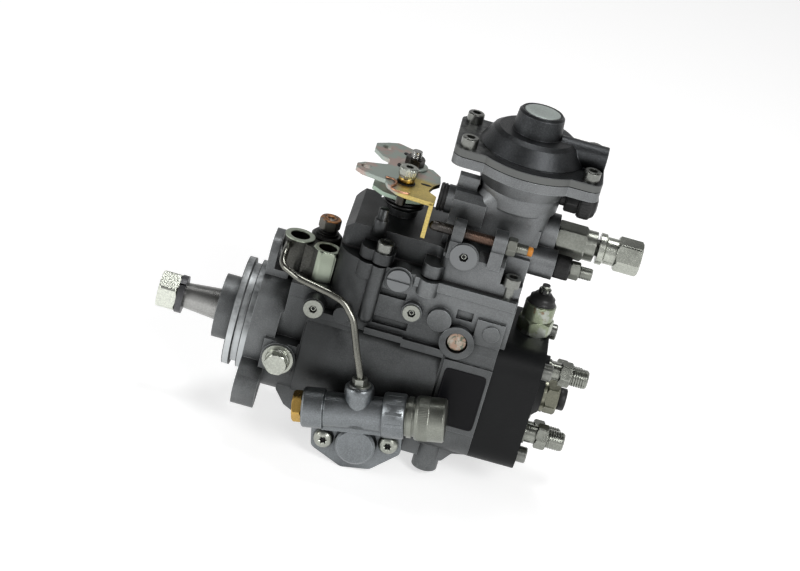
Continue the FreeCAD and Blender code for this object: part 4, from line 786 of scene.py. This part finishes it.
class PUMP_OT_lever(bpy.types.Operator):
    """Add the clamp's spacer, washer and knurl, the shaft's washer, the post and thin dark ovals of
    painted shade for the slots
    """
    bl_idname = "pump.lever"
    bl_label = "Lever details"

    def execute(self, context):
        gold = metal("spacer_gold", (0.40, 0.27, 0.08), 0.3).material
        dark = black("washer_black_and_slot_shade", 0.004, 0.7)
        lathe("clamp_spacer", [(118.5, 0), (118.5, 4.9), (121.9, 4.9), (122.3, 4.5), (122.3, 0)],
              "z", CLAMP, "lever_fasteners", "control", finish=gold)
        lathe("clamp_washer", [(118.5, 0), (118.5, 5.6), (118.9, 5.6), (119.0, 5.3), (119.0, 0)],
              "z", CLAMP, "lever_fasteners", "control", finish=dark)
        teeth = 28

        def knurl(place, angle):
            return 0.18 * np.cos(teeth * angle) * (place > 123.2) * (place < 128.0)

        profile = ([(122.9, 4.8)] + [(row, 5.4) for row in np.linspace(123.3, 127.9, 7)]
                   + [(128.2, 5.0), (128.2, 4.6), (122.9, 4.4)])
        lathe("clamp_knurl", profile, "z", CLAMP, "lever_fasteners", "control", teeth * 5, True,
              knurl)
        lathe("cover_post", [(84.0, 0), (84.0, 4.4), (94.6, 4.2), (95.2, 3.7), (95.3, 3.3),
                             (101.4, 3.2), (102.0, 2.6), (102.0, 0)], "z", POST,
              "governor_cover", "housing")
        lathe("shaft_washer", [(118.6, 0), (118.6, 8.6), (119.3, 8.6), (119.5, 8.2), (119.5, 0)],
              "z", CONTROL_SHAFT, "control_lever", "control")
        # Each slot is a thin dark oval of painted shade laid on the lever
        for number, (x, y, half_x, half_y) in enumerate(LEVER_SLOTS, start=1):
            # The slot's reach takes the place of the profile's radius of 1
            def oval(place, angle, half_x=half_x, half_y=half_y):
                return superellipse(angle, half_x, half_y, 2) - 1.0 + 0 * place

            lathe("lever_slot_shade_%d" % number, [(118.0, 0), (118.0, 1.0), (118.58, 1.0), (118.6, 0)],
                  "z", (x, y), "control_lever", "control", 32, wave=oval, finish=dark)
        return {"FINISHED"}


class PUMP_OT_drives(bpy.types.Operator):
    """Give the four timing cover screws their lobed recesses, each floored with a dark disc of
    painted shade
    """
    bl_idname = "pump.drives"
    bl_label = "Screw drives"

    def execute(self, context):
        dark = black("recess_shade_black", 0.003, 0.7)
        for side, reach in (("left", -SCREW_REACH), ("right", SCREW_REACH)):
            for end in ("near", "far"):
                # The recess piece is a dark floor of painted shade
                for kind, rows, finish in (("drive", SCREW_HEAD, None),
                                           ("recess", SCREW_SHADE_FLOOR, dark)):
                    piece = lathe("%s_%s_%s" % (kind, side, end),
                                  [(SCREW_SEAT + place, radius) for place, radius in rows], "y",
                                  (reach, SCREW_HEIGHT), "timing_cover_screws", "housing",
                                  wave=lobes, finish=finish)
                    if end == "far":
                        piece.data.transform(MIRROR)
                        piece.data.flip_normals()
                    piece.data.transform(LEAN)
        return {"FINISHED"}


class PUMP_OT_cold_start(bpy.types.Operator):
    """Turn the neck and the shoulder of the cold-start device and flute its cap"""
    bl_idname = "pump.cold_start"
    bl_label = "Cold-start device"

    def execute(self, context):
        neck = lathe("cold_start_neck", [(20, 0), (20, 9.6), (30, 9.2), (36, 8.6), (40, 8.9),
                                         (43.4, 8.6), (44.6, 7.6), (44.6, 4.6), (43.8, 4.2),
                                         (43.8, 0)], "z", COLD_START_NECK, "timing_cover",
                     "housing")
        shoulder = lathe("cold_start_shoulder", [(16.6, 0), (16.6, 12.9), (17.4, 13.6),
                                                 (29.4, 13.6), (30.2, 12.8), (30.2, 0)], "x",
                         COLD_START_CAP, "timing_cover", "housing")
        flutes = ribbed("cap_flutes", (37.2, 44.8), 0.2, 9, (12.0, 12.9, 13.35), 84, 0.22, 336,
                        COLD_START_CAP, "cold_start_cap")
        for piece in (neck, shoulder, flutes):
            piece.data.transform(LEAN)
        return {"FINISHED"}


class PUMP_OT_terminal(bpy.types.Operator):
    """Add the nut, the stud and the collar of the solenoid's terminal"""
    bl_idname = "pump.terminal"
    bl_label = "Solenoid terminal"

    def execute(self, context):
        steel = finish_for("lock_screw")
        for name, profile, sides, finish in (
                ("nut", [(66.6, 0), (66.6, 3.3), (67.0, 3.8), (68.8, 3.8), (69.2, 3.3), (69.2, 0)],
                 6, steel),
                ("stud", [(69.0, 0), (69.0, 2.45), (71.0, 2.45), (71.4, 2.0), (71.4, 0)], 24,
                 steel),
                ("collar", [(59.6, 0), (59.6, 9.0), (60.8, 8.2), (62.0, 7.6), (63.2, 7.7),
                            (64.0, 6.2), (65.6, 5.2), (65.8, 0)], 48, None)):
            lathe("terminal_" + name, profile, "z", SOLENOID, "solenoid_terminal", "housing",
                  sides, finish=finish)
        return {"FINISHED"}


class PUMP_OT_breather(bpy.types.Operator):
    """Raise the ribs round the breather's end"""
    bl_idname = "pump.breather"
    bl_label = "Breather ribs"

    def execute(self, context):
        ribbed("breather_ribs", (169.6, 176.8), 0.4, 8, (8.4, 8.9, 9.35), 30, 0.3, 150, BREATHER,
               "breather_elbow")
        return {"FINISHED"}


class PUMP_OT_nameplate(bpy.types.Operator):
    """Lay the bare nameplate on its panel"""
    bl_idname = "pump.nameplate"
    bl_label = "Nameplate"

    def execute(self, context):
        """Superellipses that share one middle: each ring has a height over the panel and a share
        of the outline, and the face is sunk inside its rim."""
        thick = context.scene.pump_sizes.plate / MM
        sunk = thick - 0.12
        x, y, z = NAMEPLATE
        angle = np.linspace(0, 2 * math.pi, 96, endpoint=False)
        rings = np.array([(0.0, 1.0), (thick * 0.7, 1.0), (thick, 0.985), (thick, 0.93),
                          (sunk, 0.925), (sunk, 0.4)])
        reach = rings[:, 1, None] * superellipse(angle, *NAMEPLATE_HALF, 14.0)
        points = np.stack([x + reach * np.cos(angle), y - rings[:, 0, None] + 0 * reach,
                           z + reach * np.sin(angle)], axis=2)
        dark = paint("plate_black", (0.004, 0.004, 0.005), 0.4, grain=200.0, depth=0.01,
                     sheen=0.15).material
        add_piece("nameplate", points, np.array([(x, y, z), (x, y - sunk, z)]), "tamper_cap",
                  "housing", dark, smooth=False)
        return {"FINISHED"}


class PUMP_OT_bowl(bpy.types.Operator):
    """Blend the cover's box into the bowl of the compensator, as the casting does"""
    bl_idname = "pump.bowl"
    bl_label = "Bowl blend"

    def execute(self, context):
        """Superellipses over a share h of the height: middle, half sides and power ease from the
        box to the circle, and the upper rows flare out."""
        lathe("bowl_ridge", [(118.8, 21.0), (118.9, 23.5), (119.1, 23.9), (119.6, 24.1),
                             (120.4, 24.2), (125.0, 24.6), (130.0, 25.1), (130.3, 24.9),
                             (130.4, 21.0)], "z", BOWL, "governor_cover", "housing", 96, True)
        h = np.linspace(0, 1, 40)[:, None]
        ease = h * h * (3 - 2 * h)
        flare = BLEND_FLARE * np.clip(h - FLARE_FROM, 0, 1) ** 1.6

        def eased(ends):
            return ends[0] + (ends[1] - ends[0]) * ease

        middle_x, middle_y = [eased(ends) for ends in zip(*BLEND_MIDDLE)]
        half_x, half_y = [eased(ends) + flare for ends in zip(*BLEND_HALF)]
        low, high = BLEND_HEIGHTS
        angle = np.linspace(0, 2 * math.pi, 120, endpoint=False)
        reach = superellipse(angle, half_x, half_y, eased(BLEND_POWER))
        points = np.stack([middle_x + reach * np.cos(angle), middle_y + reach * np.sin(angle),
                           low + (high - low) * h + 0 * reach], axis=2)
        poles = np.array([(*BLEND_MIDDLE[0], low), (*BLEND_MIDDLE[1], high)])
        add_piece("bowl_blend", points, poles, "governor_cover", "housing")
        return {"FINISHED"}


class PUMP_OT_sockets(bpy.types.Operator):
    """Fit a bright ring of painted highlight and a dark disc of painted shade in the holes of the
    hollow plugs
    """
    bl_idname = "pump.sockets"
    bl_label = "Plug sockets"

    def execute(self, context):
        dark, highlight_finish = black("socket_shade_black", 0.003, 0.7), finish_for("overflow_nut")
        for name, face, reach, spot in SOCKETS:
            low, high = face - 1.9, face - 1.3
            # Dark disc of painted shade inside the hole
            lathe("socket_shade_disc_" + name, [(low, 0), (low, reach), (high, reach), (high, 0)], "y",
                  spot, "side_plugs", "housing", 32, finish=dark)
            # Bright ring of painted highlight inside the hole
            lathe("socket_highlight_ring_" + name, [(high - 0.1, 1.0), (high - 0.1, 1.7), (high + 0.2, 1.6),
                                          (high + 0.2, 1.1)], "y", spot, "side_plugs", "housing",
                  32, True, finish=highlight_finish)
        return {"FINISHED"}


# ---------------------------------------------------------------- stage
FLOOR_HALF = 6.0
FLOOR_TONE, FLOOR_GLOW = 0.62, 0.62
LAMP_AIM = (0.08, 0, 0.05)
# Name, place in metres, side and power
LAMPS = (("key", (0.9, -1.1, 1.0), 0.6, 14), ("top", (0.1, 0.4, 1.5), 0.5, 8),
         ("side", (-1.2, -0.8, 0.6), 0.6, 7))
# Strength of the sky at the horizon and overhead, and the share of the height in between
SKY_LOW, SKY_HIGH, SKY_HEIGHT = 0.85, 0.06, 0.75
VIEW_TARGET = Vector((0.0804, 0.0, 0.04506))
VIEW_DISTANCE = 1.3
VIEW_HEIGHT = math.radians(25.0)
VIEW_ROLL = math.radians(15.5)
VIEW_LENS = 96.4


class PUMP_OT_stage(bpy.types.Operator):
    """Floor, lamps, world and the camera at the photograph's angle"""
    bl_idname = "pump.stage"
    bl_label = "Stage"

    def execute(self, context):
        make_floor()
        make_lamps()
        make_world()
        make_camera()
        context.scene.view_settings.view_transform = "Standard"
        return {"FINISHED"}


def make_floor():
    """Pale floor at the part's lowest point, lifted to white for all but the diffuse rays."""
    low = CAD_BOX[0][2]
    corners = [(x * FLOOR_HALF, y * FLOOR_HALF, low)
               for x, y in ((-1, -1), (1, -1), (1, 1), (-1, 1))]
    mesh = bpy.data.meshes.new("floor")
    mesh.from_pydata(corners, [], [(0, 1, 2, 3)])
    floor = bpy.data.objects.new("floor", mesh)
    bpy.context.scene.collection.objects.link(floor)
    s = Shader("pale_floor")
    rays = s.add("ShaderNodeLightPath").outputs
    seen = s.either(rays["Is Camera Ray"], rays["Is Glossy Ray"], rays["Is Transmission Ray"])
    glow = s.add("ShaderNodeEmission", Color=(1, 1, 1, 1),
                 Strength=s.math("MULTIPLY", seen, FLOOR_GLOW))
    matt = s.add("ShaderNodeBsdfDiffuse", Color=(FLOOR_TONE, FLOOR_TONE, FLOOR_TONE, 1))
    total = s.add("ShaderNodeAddShader")
    s.feed(total.inputs[0], glow.outputs[0])
    s.feed(total.inputs[1], matt.outputs[0])
    s.feed(s.nodes["Material Output"].inputs["Surface"], total.outputs[0])
    floor.data.materials.append(s.material)


def make_lamps():
    for name, place, size, power in LAMPS:
        data = bpy.data.lights.new(name, "AREA")
        data.size, data.energy = size, power
        obj = bpy.data.objects.new(name, data)
        obj.location = place
        obj.rotation_euler = (Vector(LAMP_AIM) - Vector(place)).to_track_quat("-Z", "Y").to_euler()
        bpy.context.scene.collection.objects.link(obj)


def make_world():
    """White where the camera or glass looks; a soft sky, darker overhead, for light and gloss."""
    world = bpy.data.worlds.new("studio")
    world.use_nodes = True
    bpy.context.scene.world = world
    nodes, links = world.node_tree.nodes, world.node_tree.links
    sky = nodes["Background"]
    split = nodes.new("ShaderNodeSeparateXYZ")
    links.new(nodes.new("ShaderNodeTexCoord").outputs["Generated"], split.inputs[0])
    ramp = nodes.new("ShaderNodeMapRange")
    for name, value in (("From Min", 0.0), ("From Max", SKY_HEIGHT), ("To Min", SKY_LOW),
                        ("To Max", SKY_HIGH)):
        ramp.inputs[name].default_value = value
    links.new(split.outputs["Z"], ramp.inputs["Value"])
    links.new(ramp.outputs["Result"], sky.inputs["Strength"])
    rays = nodes.new("ShaderNodeLightPath").outputs
    seen = nodes.new("ShaderNodeMath")
    seen.operation = "MAXIMUM"
    links.new(rays["Is Camera Ray"], seen.inputs[0])
    links.new(rays["Is Transmission Ray"], seen.inputs[1])
    white = nodes.new("ShaderNodeBackground")
    mix = nodes.new("ShaderNodeMixShader")
    for back in (sky, white):
        back.inputs["Color"].default_value = (1, 1, 1, 1)
    links.new(seen.outputs[0], mix.inputs[0])
    links.new(sky.outputs[0], mix.inputs[1])
    links.new(white.outputs[0], mix.inputs[2])
    links.new(mix.outputs[0], nodes["World Output"].inputs["Surface"])


def make_camera():
    """Camera looking along +Y from above, rolled so that the shaft falls to the right."""
    back = Vector((0, -math.cos(VIEW_HEIGHT), math.sin(VIEW_HEIGHT)))
    level_up = Vector((0, math.sin(VIEW_HEIGHT), math.cos(VIEW_HEIGHT)))
    along = Vector((1, 0, 0))
    right = along * math.cos(VIEW_ROLL) + level_up * math.sin(VIEW_ROLL)
    up = level_up * math.cos(VIEW_ROLL) - along * math.sin(VIEW_ROLL)
    turn = Matrix((right, up, back)).transposed().to_4x4()
    data = bpy.data.cameras.new("photo_camera")
    data.lens, data.sensor_width = VIEW_LENS, 36.0
    camera = bpy.data.objects.new("photo_camera", data)
    camera.matrix_world = Matrix.Translation(VIEW_TARGET + back * VIEW_DISTANCE) @ turn
    bpy.context.scene.collection.objects.link(camera)
    bpy.context.scene.camera = camera


# ---------------------------------------------------------------- panel and start
class PUMP_PT_panel(bpy.types.Panel):
    """Colours, sizes and steps of the dressing"""
    bl_idname = "PUMP_PT_panel"
    bl_label = "Injection pump"
    bl_space_type = "VIEW_3D"
    bl_region_type = "UI"
    bl_category = "Pump"

    def draw(self, context):
        for group in (context.scene.pump_colours, context.scene.pump_sizes):
            box = self.layout.box()
            for name in group.__annotations__:
                box.prop(group, name)
        for step in STEPS:
            self.layout.operator("pump." + step)


STEPS = ("finishes", "spring", "threads", "caps", "lever", "drives", "cold_start", "terminal",
         "breather", "nameplate", "bowl", "sockets", "stage")
CLASSES = (PumpColours, PumpSizes, PUMP_OT_finishes, PUMP_OT_spring, PUMP_OT_threads, PUMP_OT_caps,
           PUMP_OT_lever, PUMP_OT_drives, PUMP_OT_cold_start, PUMP_OT_terminal, PUMP_OT_breather,
           PUMP_OT_nameplate, PUMP_OT_bowl, PUMP_OT_sockets, PUMP_OT_stage, PUMP_PT_panel)


def register():
    for item in CLASSES:
        bpy.utils.register_class(item)
    bpy.types.Scene.pump_colours = bpy.props.PointerProperty(type=PumpColours)
    bpy.types.Scene.pump_sizes = bpy.props.PointerProperty(type=PumpSizes)


def unregister():
    del bpy.types.Scene.pump_colours
    del bpy.types.Scene.pump_sizes
    for item in reversed(CLASSES):
        bpy.utils.unregister_class(item)


def main():
    register()
    for step in STEPS:
        if "FINISHED" not in getattr(bpy.ops.pump, step)():
            raise RuntimeError(step + " did not finish")


if __name__ == "__main__":
    main()
